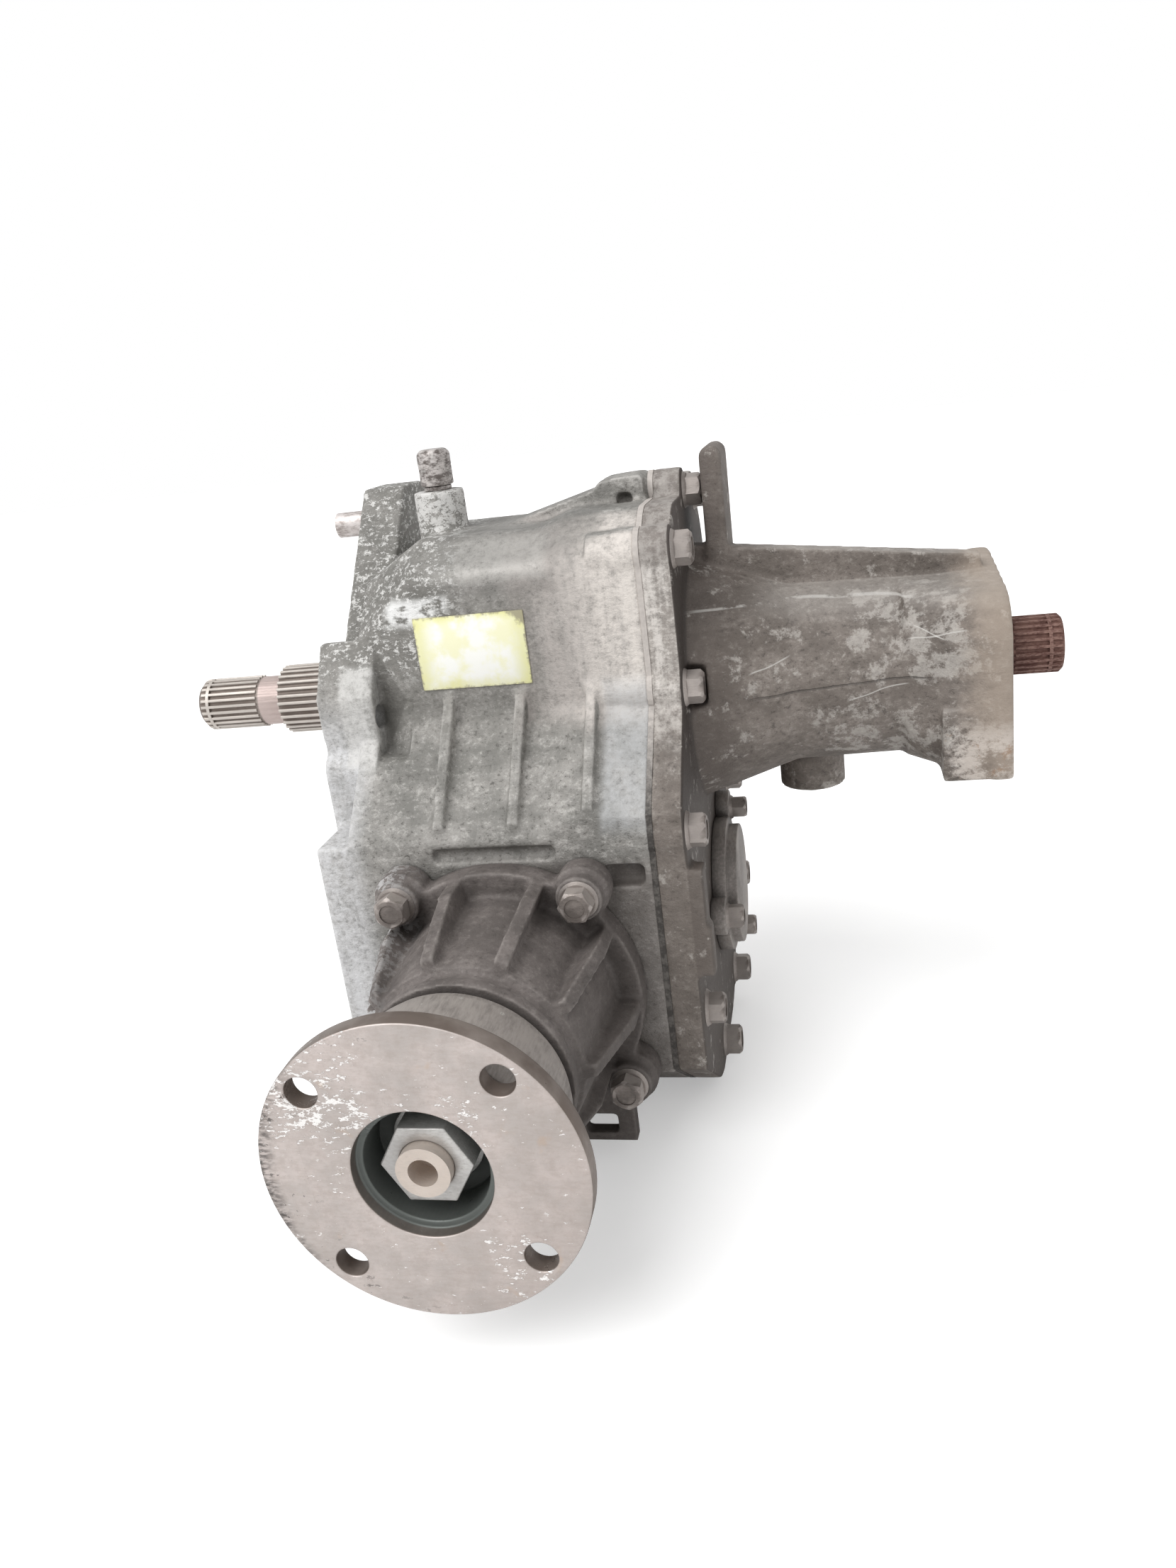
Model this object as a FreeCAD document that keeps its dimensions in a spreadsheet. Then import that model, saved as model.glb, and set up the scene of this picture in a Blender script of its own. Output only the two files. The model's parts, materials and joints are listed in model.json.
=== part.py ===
import FreeCAD, Part
import math
import os
import Sketcher
from FreeCAD import Placement, Rotation, Vector

# Transfer case that bolts to the side of a transverse gearbox.
# Frame: millimetres, +Z up. The origin is on the input axis in the plane of the
# mounting face. +X runs along the input and through shafts, away from the gearbox.
# The output (companion flange) axis runs along -Y.

doc = FreeCAD.newDocument("TransferCase")

# ------------------------------------------------------------------ sizes
SIZES = {
    # shaft lines and gears
    "pinion_x": 85,             # mounting face to output axis
    "gear_module": 2,
    "input_teeth": 47,
    "driven_teeth": 66,
    "gear_width": 15,
    "gear_left": 27,            # mounting face to the gear pair
    "bevel_module": 3,
    "pinion_teeth": 13,
    "ring_teeth": 39,
    "bevel_face": 15,
    "tooth_play": 0.3,          # backlash of each pair, along the pitch line
    # main case
    "case_length": 153.5,       # mounting face to cover joint
    "case_wall": 6,
    "case_front": 58,           # front wall from the input axis
    "case_back": 64,
    "case_top": 78,
    "gear_gap": 2.5,            # free space around the gears
    "lower_front": 103,         # pinion housing joint from the input axis
    "lower_left": 3,            # mounting face to the lower block
    "mount_thickness": 22,
    "mount_foot": 12,           # thinner lower part of the mounting flange
    "joint_rim": 10,            # rim of the case at the cover joint
    "joint_lip": 5,             # how far that rim stands out
    "flare_reach": 48,          # the walls start to flare out this far before the joint
    "flare_length": 14,
    "ear_depth": 27,            # mounting face to the back of the front ear
    "ramp_start": 84,           # the top rises from here to the block at the joint
    "block_start": 128,
    "block_rise": 16.5,         # top of that block over the top of the case
    "rib_height": 7,
    "rib_width": 5,
    "rib_pitch": 33.5,
    # cover with extension tube
    "gasket": 0.5,
    "cover_flange": 14,
    "tube_radius": 42,
    "tube_root": 58,
    "tube_taper": 45,
    "tube_wall": 7,
    "tube_drop": 4,             # tube casting sits this much under the shaft
    "tube_tip": 40,             # radius of the tube at its end flange
    "end_hole": 5,              # radius of the tapped holes in the end of the tube
    "tube_end": 305,            # mounting face to the end of the tube
    "end_flange": 29,
    "end_plate": 8,
    "end_half": 48,
    "lug_top": 103,
    # pinion housing
    "joint_shim": 0.5,
    "pinion_seal_width": 9,
    "housing_flange": 12,
    "housing_rim": 60,
    "housing_shoulder": 49,
    "neck_radius": 43.4,
    "neck_end": 180,            # input axis to the end of the neck
    "pilot_radius": 41,
    # input line
    "input_journal": 20,
    "input_bore": 14,
    "input_bearing_outer": 31,
    "input_bearing_width": 12,
    "input_bearing_left": 11,
    "input_seal_outer": 27.5,
    "input_seal_width": 7,
    "input_spline": 17.5,
    "input_reach": 45,          # how far the hollow shaft stands out
    # through shaft
    "through_radius": 12.5,
    "through_spline": 13.3,
    "through_left": 92,
    "through_reach": 27,        # how far the shaft stands out of the tube
    "end_bearing_outer": 23.5,
    "end_bearing_width": 12,
    # ring gear shaft
    "lower_journal": 15,
    "lower_bearing_outer": 31,
    "lower_bearing_width": 17,
    "ring_back": 34,            # output axis to the back of the ring gear
    # pinion and companion flange
    "pinion_journal": 15,
    "tail_journal": 12.5,
    "inner_bearing_outer": 36,
    "inner_bearing_width": 21,
    "outer_bearing_outer": 31,
    "outer_bearing_width": 18,
    "outer_bearing_start": 149,
    "hub_radius": 20,
    "flange_face": 235.6,       # input axis to the companion flange face
    "flange_radius": 60,
    "flange_plate": 8.5,
    "flange_bolt_circle": 50.4,
    "flange_hole": 6.1,
    "flange_recess": 25.7,
    "damper_radius": 44.2,
    "nut_flats": 30,
    "nut_height": 14,
    # breather, cap and plugs
    "breather_stem": 5,
    "breather_cap": 7.8,
    "breather_lift": 1.5,
    "cap_plate": 7,
    "cap_bolt_circle": 39,
    "cap_bolt_radius": 3,
    "plug_radius": 9,
    "plug_flats": 24,
    "plug_seat": 2,             # thickness of the plug washers
    "label_width": 51,
    "label_height": 33,
    "label_thickness": 0.6,
    # fasteners and fits
    "bolt_radius": 4,
    "bolt_grip": 18,            # thread engaged in the case
    "bolt_flats": 13,
    "head_height": 7,
    "washer_radius": 8.5,
    "washer_height": 1.5,
    "hole_play": 0.5,           # clearance hole around a bolt
    "mount_hole": 5.5,          # radius of the holes to the gearbox
    "dowel_radius": 6.5,
    "dowel_shank": 6.2,         # radius of the part pressed into the case
    "dowel_reach": 23,
    "running_fit": 0.05,        # between turning and fixed round faces
    "side_play": 0.3,           # between turning and fixed end faces
}

sheet = doc.addObject("Spreadsheet::Sheet", "Sizes")
for row, (name, value) in enumerate(SIZES.items(), start=1):
    sheet.set("A%d" % row, name)
    sheet.set("B%d" % row, str(value))
    sheet.setAlias("B%d" % row, name)
doc.recompute()


class Size(float):
    """A length that remembers its formula in the sheet."""

    def __new__(cls, value, formula=None):
        size = super().__new__(cls, value)
        size.formula = formula or repr(float(value))
        return size

    def joined(self, other, sign, value, swapped=False):
        other = other if isinstance(other, Size) else Size(other)
        left, right = (other, self) if swapped else (self, other)
        return Size(value, "(%s %s %s)" % (left.formula, sign, right.formula))

    def __add__(self, other):
        return self.joined(other, "+", float(self) + float(other))

    def __radd__(self, other):
        return self.joined(other, "+", float(other) + float(self), True)

    def __sub__(self, other):
        return self.joined(other, "-", float(self) - float(other))

    def __rsub__(self, other):
        return self.joined(other, "-", float(other) - float(self), True)

    def __mul__(self, other):
        return self.joined(other, "*", float(self) * float(other))

    def __rmul__(self, other):
        return self.joined(other, "*", float(other) * float(self), True)

    def __truediv__(self, other):
        return self.joined(other, "/", float(self) / float(other))

    def __neg__(self):
        return Size(0.0) - self


class Sheet:
    """The cells of the sheet, read by name."""

    def __getattr__(self, name):
        return Size(float(sheet.get(name)), "Sizes." + name)


S = Sheet()

# ------------------------------------------------------------------ stations worked out from the sizes
drop = S.gear_module * (S.input_teeth + S.driven_teeth) / 2     # input axis to the lower axis
low = -drop
driven_tip = S.gear_module * (S.driven_teeth + 2) / 2
input_tip = S.gear_module * (S.input_teeth + 2) / 2
gear_right = S.gear_left + S.gear_width
cover_start = S.case_length + S.gasket
cover_face = cover_start + S.cover_flange
ring_pitch = S.bevel_module * S.ring_teeth / 2
pinion_pitch = S.bevel_module * S.pinion_teeth / 2
ring_face = S.pinion_x + S.ring_back
cavity_left = S.input_bearing_left + S.input_bearing_width + 1.5
lower_bearing_left = cavity_left - S.lower_bearing_width
lower_bearing_right = cover_face - S.lower_bearing_width
spacer = S.gear_left - cavity_left
right_bearing = cover_start + 1
shaft_end = right_bearing + S.input_bearing_width + 2
pinion_back = ring_pitch + 3.5
inner_bearing_end = pinion_back + 1 + S.inner_bearing_width
outer_bearing_end = S.outer_bearing_start + S.outer_bearing_width
through_right = S.tube_end + S.through_reach
end_seal = S.tube_end - 8
end_bearing = end_seal - 1 - S.end_bearing_width
damper_back = S.neck_end + 4
plate_back = S.flange_face - S.flange_plate
seat_face = S.flange_face - 21
nut_face = seat_face + 1 + S.nut_height

# ------------------------------------------------------------------ small building kit
TURN = {"x": Rotation(Vector(0, 1, 0), 90), "y": Rotation(Vector(1, 0, 0), 90), "z": Rotation()}
parts = {}


def bind(obj, **formulas):
    """Sets properties and ties those that are sizes to the sheet."""
    for name, value in formulas.items():
        setattr(obj, name, float(value))
        if isinstance(value, Size):
            obj.setExpression(name, value.formula)
    return obj


def put(obj, axis, x, y, z):
    """Stands an object along x, -y or z with its foot at the given point."""
    obj.Placement = Placement(Vector(float(x), float(y), float(z)), TURN[axis])
    for name, value in (("x", x), ("y", y), ("z", z)):
        if isinstance(value, Size):
            obj.setExpression("Placement.Base." + name, value.formula)
    return obj


def foot(axis, start, line):
    """Foot point of a piece that starts so far along its axis; y counts towards -Y."""
    first, second = line
    if axis == "x":
        return start, first, second
    if axis == "y":
        return first, -start, second
    return first, second, start


def rod(axis, start, end, radius, line=(0, 0)):
    obj = bind(doc.addObject("Part::Cylinder", "Rod"), Radius=radius, Height=end - start)
    return put(obj, axis, *foot(axis, start, line))


def cone(axis, start, end, radius, tip, line=(0, 0)):
    obj = bind(doc.addObject("Part::Cone", "Cone"), Radius1=radius, Radius2=tip, Height=end - start)
    return put(obj, axis, *foot(axis, start, line))


def hexagon(axis, start, end, flats, line=(0, 0)):
    obj = bind(doc.addObject("Part::Prism", "Hexagon"), Circumradius=flats / math.sqrt(3), Height=end - start)
    obj.Polygon = 6
    return put(obj, axis, *foot(axis, start, line))


def block(x, y, z, length, width, height):
    obj = bind(doc.addObject("Part::Box", "Block"), Length=length, Width=width, Height=height)
    return put(obj, "z", x, y, z)


def solid(shape, name="Form"):
    """A form that only its own code can shape."""
    obj = doc.addObject("Part::Feature", name)
    obj.Shape = shape
    return obj


def named(label, obj):
    obj.Label = label
    parts[label] = obj
    return obj


def fuse(*pieces):
    if len(pieces) == 1:
        return pieces[0]
    obj = doc.addObject("Part::MultiFuse", "Union")
    obj.Shapes = list(pieces)
    return obj


def cut(base, *tools):
    obj = doc.addObject("Part::Cut", "Cut")
    obj.Base = base
    obj.Tool = fuse(*tools)
    return obj


def group(label, pieces):
    obj = doc.addObject("Part::Compound", "Group")
    obj.Links = list(pieces)
    return named(label, obj)


def ring(axis, start, end, outer, inner, line=(0, 0)):
    return cut(rod(axis, start, end, outer, line), rod(axis, start - 1, end + 1, inner, line))


# ------------------------------------------------------------------ outlines
def rounded(corners):
    """Closed outline through (u, v, radius) corners, as a wire in the XY plane."""
    count = len(corners)
    points = [Vector(float(u), float(v), 0) for u, v, radius in corners]
    edges = []
    ends = []
    for i in range(count):
        here = points[i]
        to_last = (points[i - 1] - here).normalize()
        to_next = (points[(i + 1) % count] - here).normalize()
        half = to_last.getAngle(to_next) / 2
        radius = float(corners[i][2])
        reach = radius / math.tan(half)
        middle = (to_last + to_next).normalize()
        crown = here + middle * (radius / math.sin(half) - radius)
        ends.append((here + to_last * reach, crown, here + to_next * reach))
    for i, (start, crown, end) in enumerate(ends):
        if (end - start).Length > 1e-6:
            edges.append(Part.Arc(start, crown, end).toShape())
        following = ends[(i + 1) % count][0]
        if (following - end).Length > 1e-6:
            edges.append(Part.LineSegment(end, following).toShape())
    return Part.Wire(edges)


def across(wire, start, end):
    """Extrudes an outline drawn in (y, z) from one X station to another."""
    face = Part.Face(wire)
    face.Placement = Placement(Vector(float(start), 0, 0), Rotation(0.5, 0.5, 0.5, 0.5))
    return face.extrude(Vector(float(end) - float(start), 0, 0))


def forward(wire, start, end, x, z):
    """Extrudes an outline drawn in (x, z) about a point, from one depth to another, towards -Y."""
    face = Part.Face(wire)
    face.Placement = Placement(Vector(float(x), -float(start), float(z)), TURN["y"])
    return face.extrude(Vector(0, float(start) - float(end), 0))


def tube(axis, start, end, radius, line=(0, 0), tip=None):
    """Plain round bar or taper as a shape, for the castings."""
    base = Vector(*[float(value) for value in foot(axis, start, line)])
    direction = {"x": Vector(1, 0, 0), "y": Vector(0, -1, 0), "z": Vector(0, 0, 1)}[axis]
    height = float(end) - float(start)
    if tip is None:
        return Part.makeCylinder(float(radius), height, base, direction)
    return Part.makeCone(float(radius), float(tip), height, base, direction)


def brick(x0, x1, y0, y1, z0, z1):
    size = [float(b) - float(a) for a, b in ((x0, x1), (y0, y1), (z0, z1))]
    return Part.makeBox(*size, Vector(float(x0), float(y0), float(z0)))


def involute(teeth, module, tip, root, play, phase, steps=4):
    """Outline points of a spur gear or spline with involute flanks, in the XY plane."""
    pitch = module * teeth / 2
    base = pitch * math.cos(math.radians(20))
    half_tooth = math.pi / 2 / teeth - play / 4 / pitch

    def flank(radius):
        def rolled(r):
            if r <= base:
                return 0.0
            angle = math.acos(base / r)
            return math.tan(angle) - angle
        return half_tooth + rolled(pitch) - rolled(radius)

    radii = [root] + [max(root, base) + (tip - max(root, base)) * i / steps for i in range(steps + 1)]
    if root >= base:
        radii = radii[1:]
    points = []
    for tooth in range(int(teeth)):
        centre = phase + 2 * math.pi * tooth / teeth
        rising = [(r, centre - flank(r)) for r in radii]
        falling = [(r, centre + flank(r)) for r in reversed(radii)]
        points += [Vector(r * math.cos(a), r * math.sin(a), 0) for r, a in rising + falling]
    return Part.makePolygon(points + points[:1])


def spline(axis_start, axis_end, outer, teeth):
    """Straight-sided shaft spline about the input axis."""
    root = float(outer) * 0.92
    points = []
    for tooth in range(teeth):
        for radius, share in ((root, -0.30), (outer, -0.18), (outer, 0.18), (root, 0.30)):
            angle = 2 * math.pi * (tooth + share) / teeth
            points.append(Vector(float(radius) * math.cos(angle), float(radius) * math.sin(angle), 0))
    return across(Part.makePolygon(points + points[:1]), axis_start, axis_end)


# ------------------------------------------------------------------ fasteners and bearings
def bolt(axis, face, line, length, flats=S.bolt_flats, radius=S.bolt_radius, towards=1):
    """Flanged hex bolt: its head stands on the face, its shank goes back into the joint."""
    step = Size(1) * towards
    washer_end = face + step * S.washer_height
    head_end = washer_end + step * S.head_height
    if towards > 0:
        return fuse(rod(axis, face - length, face + 0.5, radius, line),
                    rod(axis, face, washer_end, S.washer_radius * flats / S.bolt_flats, line),
                    hexagon(axis, washer_end, head_end, flats, line))
    return fuse(rod(axis, face - 0.5, face + length, radius, line),
                rod(axis, washer_end, face, S.washer_radius * flats / S.bolt_flats, line),
                hexagon(axis, head_end, washer_end, flats, line))


def ball_bearing(name, starts, width, bore, outer, count):
    """Deep-groove ball bearings on the input axis: rings with grooves, and the balls."""
    pitch = (bore + outer) / 2
    ball = (outer - bore) * 0.26
    inner_rings, outer_rings, balls = [], [], []
    for start in starts:
        middle = start + width / 2
        groove = bind(doc.addObject("Part::Torus", "Groove"), Radius1=pitch, Radius2=ball + S.running_fit)
        put(groove, "x", middle, 0, 0)
        inner_rings.append(cut(ring("x", start, start + width, pitch - ball * 0.45, bore), groove))
        outer_rings.append(cut(ring("x", start, start + width, outer, pitch + ball * 0.45), groove))
        for k in range(count):
            angle = 2 * math.pi * k / count
            sphere = bind(doc.addObject("Part::Sphere", "Ball"), Radius=ball)
            balls.append(put(sphere, "z", middle, pitch * math.cos(angle), pitch * math.sin(angle)))
    group(name + "_inner_ring" + "s" * (len(starts) > 1), inner_rings)
    group(name + "_outer_ring" + "s" * (len(starts) > 1), outer_rings)
    group(name + "_balls", balls)


def roller_bearing(name, axis, starts, width, bore, outer, count, line, flips):
    """Tapered roller bearings: cone on the shaft, cup in the casting, rollers between them."""
    inner = bore + (outer - bore) * 0.42
    roller = (outer - bore) * 0.16
    lean = (outer - bore) * 0.12
    slope = math.atan2(float(lean), float(width))
    rise = roller / math.cos(slope)
    middle = inner - lean / 2
    gap = S.running_fit * 2
    cones, cups, rollers = [], [], []
    for start, flip in zip(starts, flips):
        end = start + width
        small, large = (inner - lean, inner) if flip else (inner, inner - lean)
        seat = cone(axis, start, end, small, large, line)
        cones.append(cut(seat, rod(axis, start - 1, end + 1, bore, line)))
        race = cone(axis, start, end, small + rise * 2 + gap, large + rise * 2 + gap, line)
        cups.append(cut(rod(axis, start, end, outer, line), race))
        tilt = math.degrees(slope) * (1 if flip else -1)
        length = float(width) * 0.7
        for k in range(count):
            angle = 2 * math.pi * k / count
            bar = Part.makeCylinder(float(roller) - 0.02, length)
            bar.translate(Vector(float(middle + rise), 0, -length / 2))
            bar.rotate(Vector(float(middle + rise), 0, 0), Vector(0, 1, 0), tilt)
            bar.rotate(Vector(), Vector(0, 0, 1), math.degrees(angle))
            bar.Placement = Placement(Vector(*[float(v) for v in foot(axis, start + width / 2, line)]),
                                      TURN[axis]) * bar.Placement
            rollers.append(solid(bar, "Roller"))
    plural = "s" * (len(starts) > 1)
    group(name + "_cone" + plural, cones)
    group(name + "_cup" + plural, cups)
    group(name + "_rollers", rollers)


# ------------------------------------------------------------------ main case
rim_bolts = [
    (-S.case_front + 4, S.case_top - 12), (Size(6), S.case_top + 6), (-S.case_front + 2, Size(6)),
    (-S.lower_front + 9, low + 67), (-S.lower_front + 16, low - 22), (Size(-34), low - driven_tip - 3),
    (Size(38), low - driven_tip - 1), (driven_tip + 12, low - 30), (driven_tip + 12, low + 30),
    (S.case_back + 2, Size(-22)), (S.case_back + 2, Size(34)), (Size(42), S.case_top + 1),
]
housing_bolts = [(-41, 49), (39, 49), (50.5, -40), (-50.5, -40)]
ear_hole = (-S.case_front - 0.5, Size(3))
mount_holes = [(64, 62), (64, -20), (-52, -92), (52, -92)]
dowels = [(52, 80), (60, -66)]
cap_bolts = [(S.cap_bolt_circle * math.cos(math.radians(a)), low + S.cap_bolt_circle * math.sin(math.radians(a)))
             for a in (60, 180, 300)]
end_holes = [(-36, -36), (36, -36), (36, 14), (-36, 14)]
bore_radius = driven_tip + S.gear_gap
lower_radius = bore_radius + S.case_wall
fill_line = (S.pinion_x, low + 20)
drain_line = (S.pinion_x - 25, Size(-10))
ledge = low + S.housing_rim + 15
flare = S.case_length - S.flare_reach


def let_out(corners, by):
    """Moves the sides of an anticlockwise outline outwards, all by as much."""
    moved = []
    for i, (u, v, radius) in enumerate(corners):
        last, after = corners[i - 1], corners[(i + 1) % len(corners)]
        into = Vector(float(u - last[0]), float(v - last[1]), 0).normalize()
        out = Vector(float(after[0] - u), float(after[1] - v), 0).normalize()
        share = float(by) / (1 + into.dot(out))
        turn = 1 if into.cross(out).z > 0 else -1
        moved.append((u + (into.y + out.y) * share, v - (into.x + out.x) * share, radius + turn * by))
    return moved


def body_outline(neck, grow=0):
    """Section of the case: full size or let out, or drawn in to the input gear at its neck."""
    if neck:
        crown = [(S.case_front - 2, 60, 30), (-26, 60, 20), (-S.case_front + 6, 34, 14)]
    else:
        crown = [(S.case_back, S.case_top, 34), (-S.case_front + 22, S.case_top, 16),
                 (-S.case_front, S.case_top - 14, 12)]
    return rounded(let_out([
        (-S.case_front, 1, 12), (-S.lower_front + 4, ledge, 5), (-S.lower_front, ledge - 6, 3),
        (-S.lower_front, low - 38, 14), (-52, low - lower_radius, 30), (lower_radius, low - lower_radius, 70),
        (lower_radius, low + 42, 20), (S.case_back, low + 76, 14)] + crown, grow))


def rim(start, end):
    """Flange of the cover joint between two X stations: the case section let out, with an ear at each bolt."""
    plate = across(body_outline(False, S.joint_lip), start, end)
    plate = plate.common(brick(start, end, -S.lower_front, 300, -400, 300))
    for y, z in rim_bolts:
        plate = plate.fuse(tube("x", start, end, S.washer_radius + 2, (y, z)))
    return plate.common(brick(start, end, -S.lower_front - 1, 300, -400, 300))


def lofted(near, start, far, end):
    """Walls between two outlines in (y, z) at two X stations."""
    for wire, station in ((near, start), (far, end)):
        wire.Placement = Placement(Vector(float(station), 0, 0), Rotation(0.5, 0.5, 0.5, 0.5))
    return Part.makeLoft([near, far], True, True)


def cavity():
    """Room inside the case for the two gears, the ring gear and the pinion."""
    end = S.case_length + 1
    room = tube("x", cavity_left, end, input_tip + S.gear_gap)
    room = room.fuse(tube("x", cavity_left, end, bore_radius, (0, low)))
    room = room.fuse(brick(cavity_left, end, -input_tip + 8, input_tip - 2, low, 10))
    room = room.fuse(brick(gear_right + 4, end, -S.lower_front + 10, 0, low - 34, ledge - 10))
    return room.fuse(tube("x", S.lower_left + S.case_wall + 3, cavity_left + 1, bore_radius - 4, (0, low)))


def mounting_flange():
    """Plate that meets the gearbox, with a slanted front edge and two ears."""
    upper = [(36.5, 98, 6), (-50, 1, 20), (-72, -16, 10), (-72, -34, 3), (76, -34, 12), (80, 60, 20), (74, 98, 14)]
    lower = [(-72, -20, 3), (-72, -62, 3), (-60, -110, 20), (70, -110, 20), (76, -20, 3)]
    plate = across(rounded(upper), 0, S.mount_thickness)
    ear = [(-46, 44, 3), (-67, 14, 4), (-66, -12, 4), (-46, -36, 3)]
    return plate.fuse([across(rounded(lower), 0, S.mount_foot), across(rounded(ear), 0, S.ear_depth)])


def main_case():
    body = across(body_outline(False), S.mount_thickness + 28, S.case_length)
    body = body.fuse(lofted(body_outline(True), S.mount_thickness - 4, body_outline(False), S.mount_thickness + 28))
    # walls that flare out to the cover joint, and bosses for its bolts
    flared = lofted(body_outline(False), flare, body_outline(False, S.joint_lip), flare + S.flare_length)
    flared = flared.fuse(across(body_outline(False, S.joint_lip), flare + S.flare_length,
                                S.case_length - S.joint_rim))
    for y, z in rim_bolts:
        flared = flared.fuse(tube("x", S.case_length - S.bolt_grip - 4, S.case_length - S.joint_rim,
                                  S.washer_radius + 1, (y, z)))
    body = body.fuse(flared.common(brick(flare - 1, S.case_length, -S.lower_front, 300, -400, 300)))
    foot_block = across(body_outline(True), S.lower_left, S.mount_thickness)
    body = body.fuse(foot_block.common(brick(0, S.mount_thickness, -200, 200, -300, ledge - 6)))
    body = body.fuse([mounting_flange(), rim(S.case_length - S.joint_rim, S.case_length)])
    # ribs down the sloping front, and the bar along the top of the slope
    rib = [(-S.case_front + 8, 20, 0), (-S.case_front - 4, 8, 2), (-S.lower_front + 1.5, ledge + 2, 1),
           (-S.lower_front + 1.5, ledge - 12, 1), (-S.lower_front + 14, ledge - 12, 0)]
    for k in range(3):
        station = S.pinion_x - 24 + S.rib_pitch * k
        corners = let_out(rib, S.joint_lip) if station > flare else rib
        bar = across(rounded(corners), station - S.rib_width / 2, station + S.rib_width / 2)
        body = body.fuse(bar.common(brick(0, S.case_length, -S.lower_front, 0, ledge - 20, 60)))
    # breather boss, and the top that rises to a block at the joint, with a cast slot in its front
    block_top = S.case_top + S.block_rise
    rise = rounded([(S.ramp_start, S.case_top - 18, 0), (S.case_length - 2, S.case_top - 18, 0),
                    (S.case_length - 2, block_top, 3), (S.block_start + 4, block_top - 1, 3),
                    (S.block_start, block_top - 5, 2), (S.ramp_start, S.case_top, 0)])
    body = body.fuse([tube("z", 40, S.case_top + 18.5, 11.9, (S.pinion_x - 33, 0)),
                      forward(rise, -18, 10, 0, 0)])
    body = body.cut([brick(S.block_start + 11, S.block_start + 18, -12, -6, block_top - 18, block_top - 8),
                     # recess under the bar at the foot of the slope, and the slot beside the housing
                     brick(S.pinion_x - 28, S.pinion_x + 27, -S.lower_front - 1, -S.lower_front + 4,
                           ledge - 15, ledge - 9),
                     brick(S.pinion_x + 47, S.case_length - 4, -S.lower_front - 1, -S.lower_front + 7,
                           ledge - 29, ledge - 19),
                     # hollow in the wall behind the front ear
                     tube("x", S.ear_depth, S.ear_depth + 15, 60, (-S.case_front - 56, 10), 54.5).common(
                         brick(0, S.case_length, -S.lower_front, 0, -14, 60))])
    # bosses inside for the housing bolts, walls round the left bearings
    for x, z in housing_bolts:
        body = body.fuse(tube("y", S.lower_front - 21, S.lower_front, 8.5, (S.pinion_x + x, low + z)))
    body = body.cut(cavity())
    body = body.fuse(tube("x", S.lower_left, cavity_left, S.lower_bearing_outer + 6, (0, low)))
    for x, z in housing_bolts:
        body = body.fuse(tube("y", S.lower_front - 21, S.lower_front - 8, 8.5, (S.pinion_x + x, low + z)))
    body = body.fuse(brick(gear_right + 2, S.case_length, -S.lower_front, -S.lower_front + 10, low - 46, low + 46))
    # bores
    left = S.input_bearing_left
    body = body.cut([
        tube("x", left - S.input_seal_width - 1, left + 1, S.input_seal_outer),
        tube("x", left, cavity_left + 1, S.input_bearing_outer),
        tube("x", -1, cavity_left, S.input_journal + 2),
        tube("x", lower_bearing_left, cavity_left + 1, S.lower_bearing_outer, (0, low)),
        tube("y", ring_pitch, S.lower_front + 1, S.pilot_radius, (S.pinion_x, low)),
    ])
    # tapped holes for the cover, the housing, the breather, the plugs and the dowels
    for y, z in rim_bolts:
        body = body.cut(tube("x", S.case_length - S.bolt_grip, S.case_length + 1, S.bolt_radius, (y, z)))
    for x, z in housing_bolts:
        body = body.cut(tube("y", S.lower_front - S.bolt_grip, S.lower_front + 1, S.bolt_radius,
                             (S.pinion_x + x, low + z)))
    body = body.cut(tube("x", -1, S.ear_depth + 1, S.mount_hole, ear_hole))
    for y, z in mount_holes:
        body = body.cut(tube("x", -1, S.mount_thickness + 2, S.mount_hole, (y, z)))
    for y, z in dowels:
        body = body.cut([tube("x", -1, S.mount_foot - 2, S.dowel_shank, (y, z)),
                         tube("x", -1, 1, S.dowel_radius + S.hole_play, (y, z))])
    body = body.cut([
        tube("z", S.case_top + 8, S.case_top + 20, S.breather_stem, (S.pinion_x - 33, 0)),
        tube("y", -lower_radius - 1, -bore_radius + 12, S.plug_radius, fill_line),
        tube("z", low - lower_radius - 1, low - bore_radius + 2, S.plug_radius, drain_line),
    ])
    return body


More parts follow.
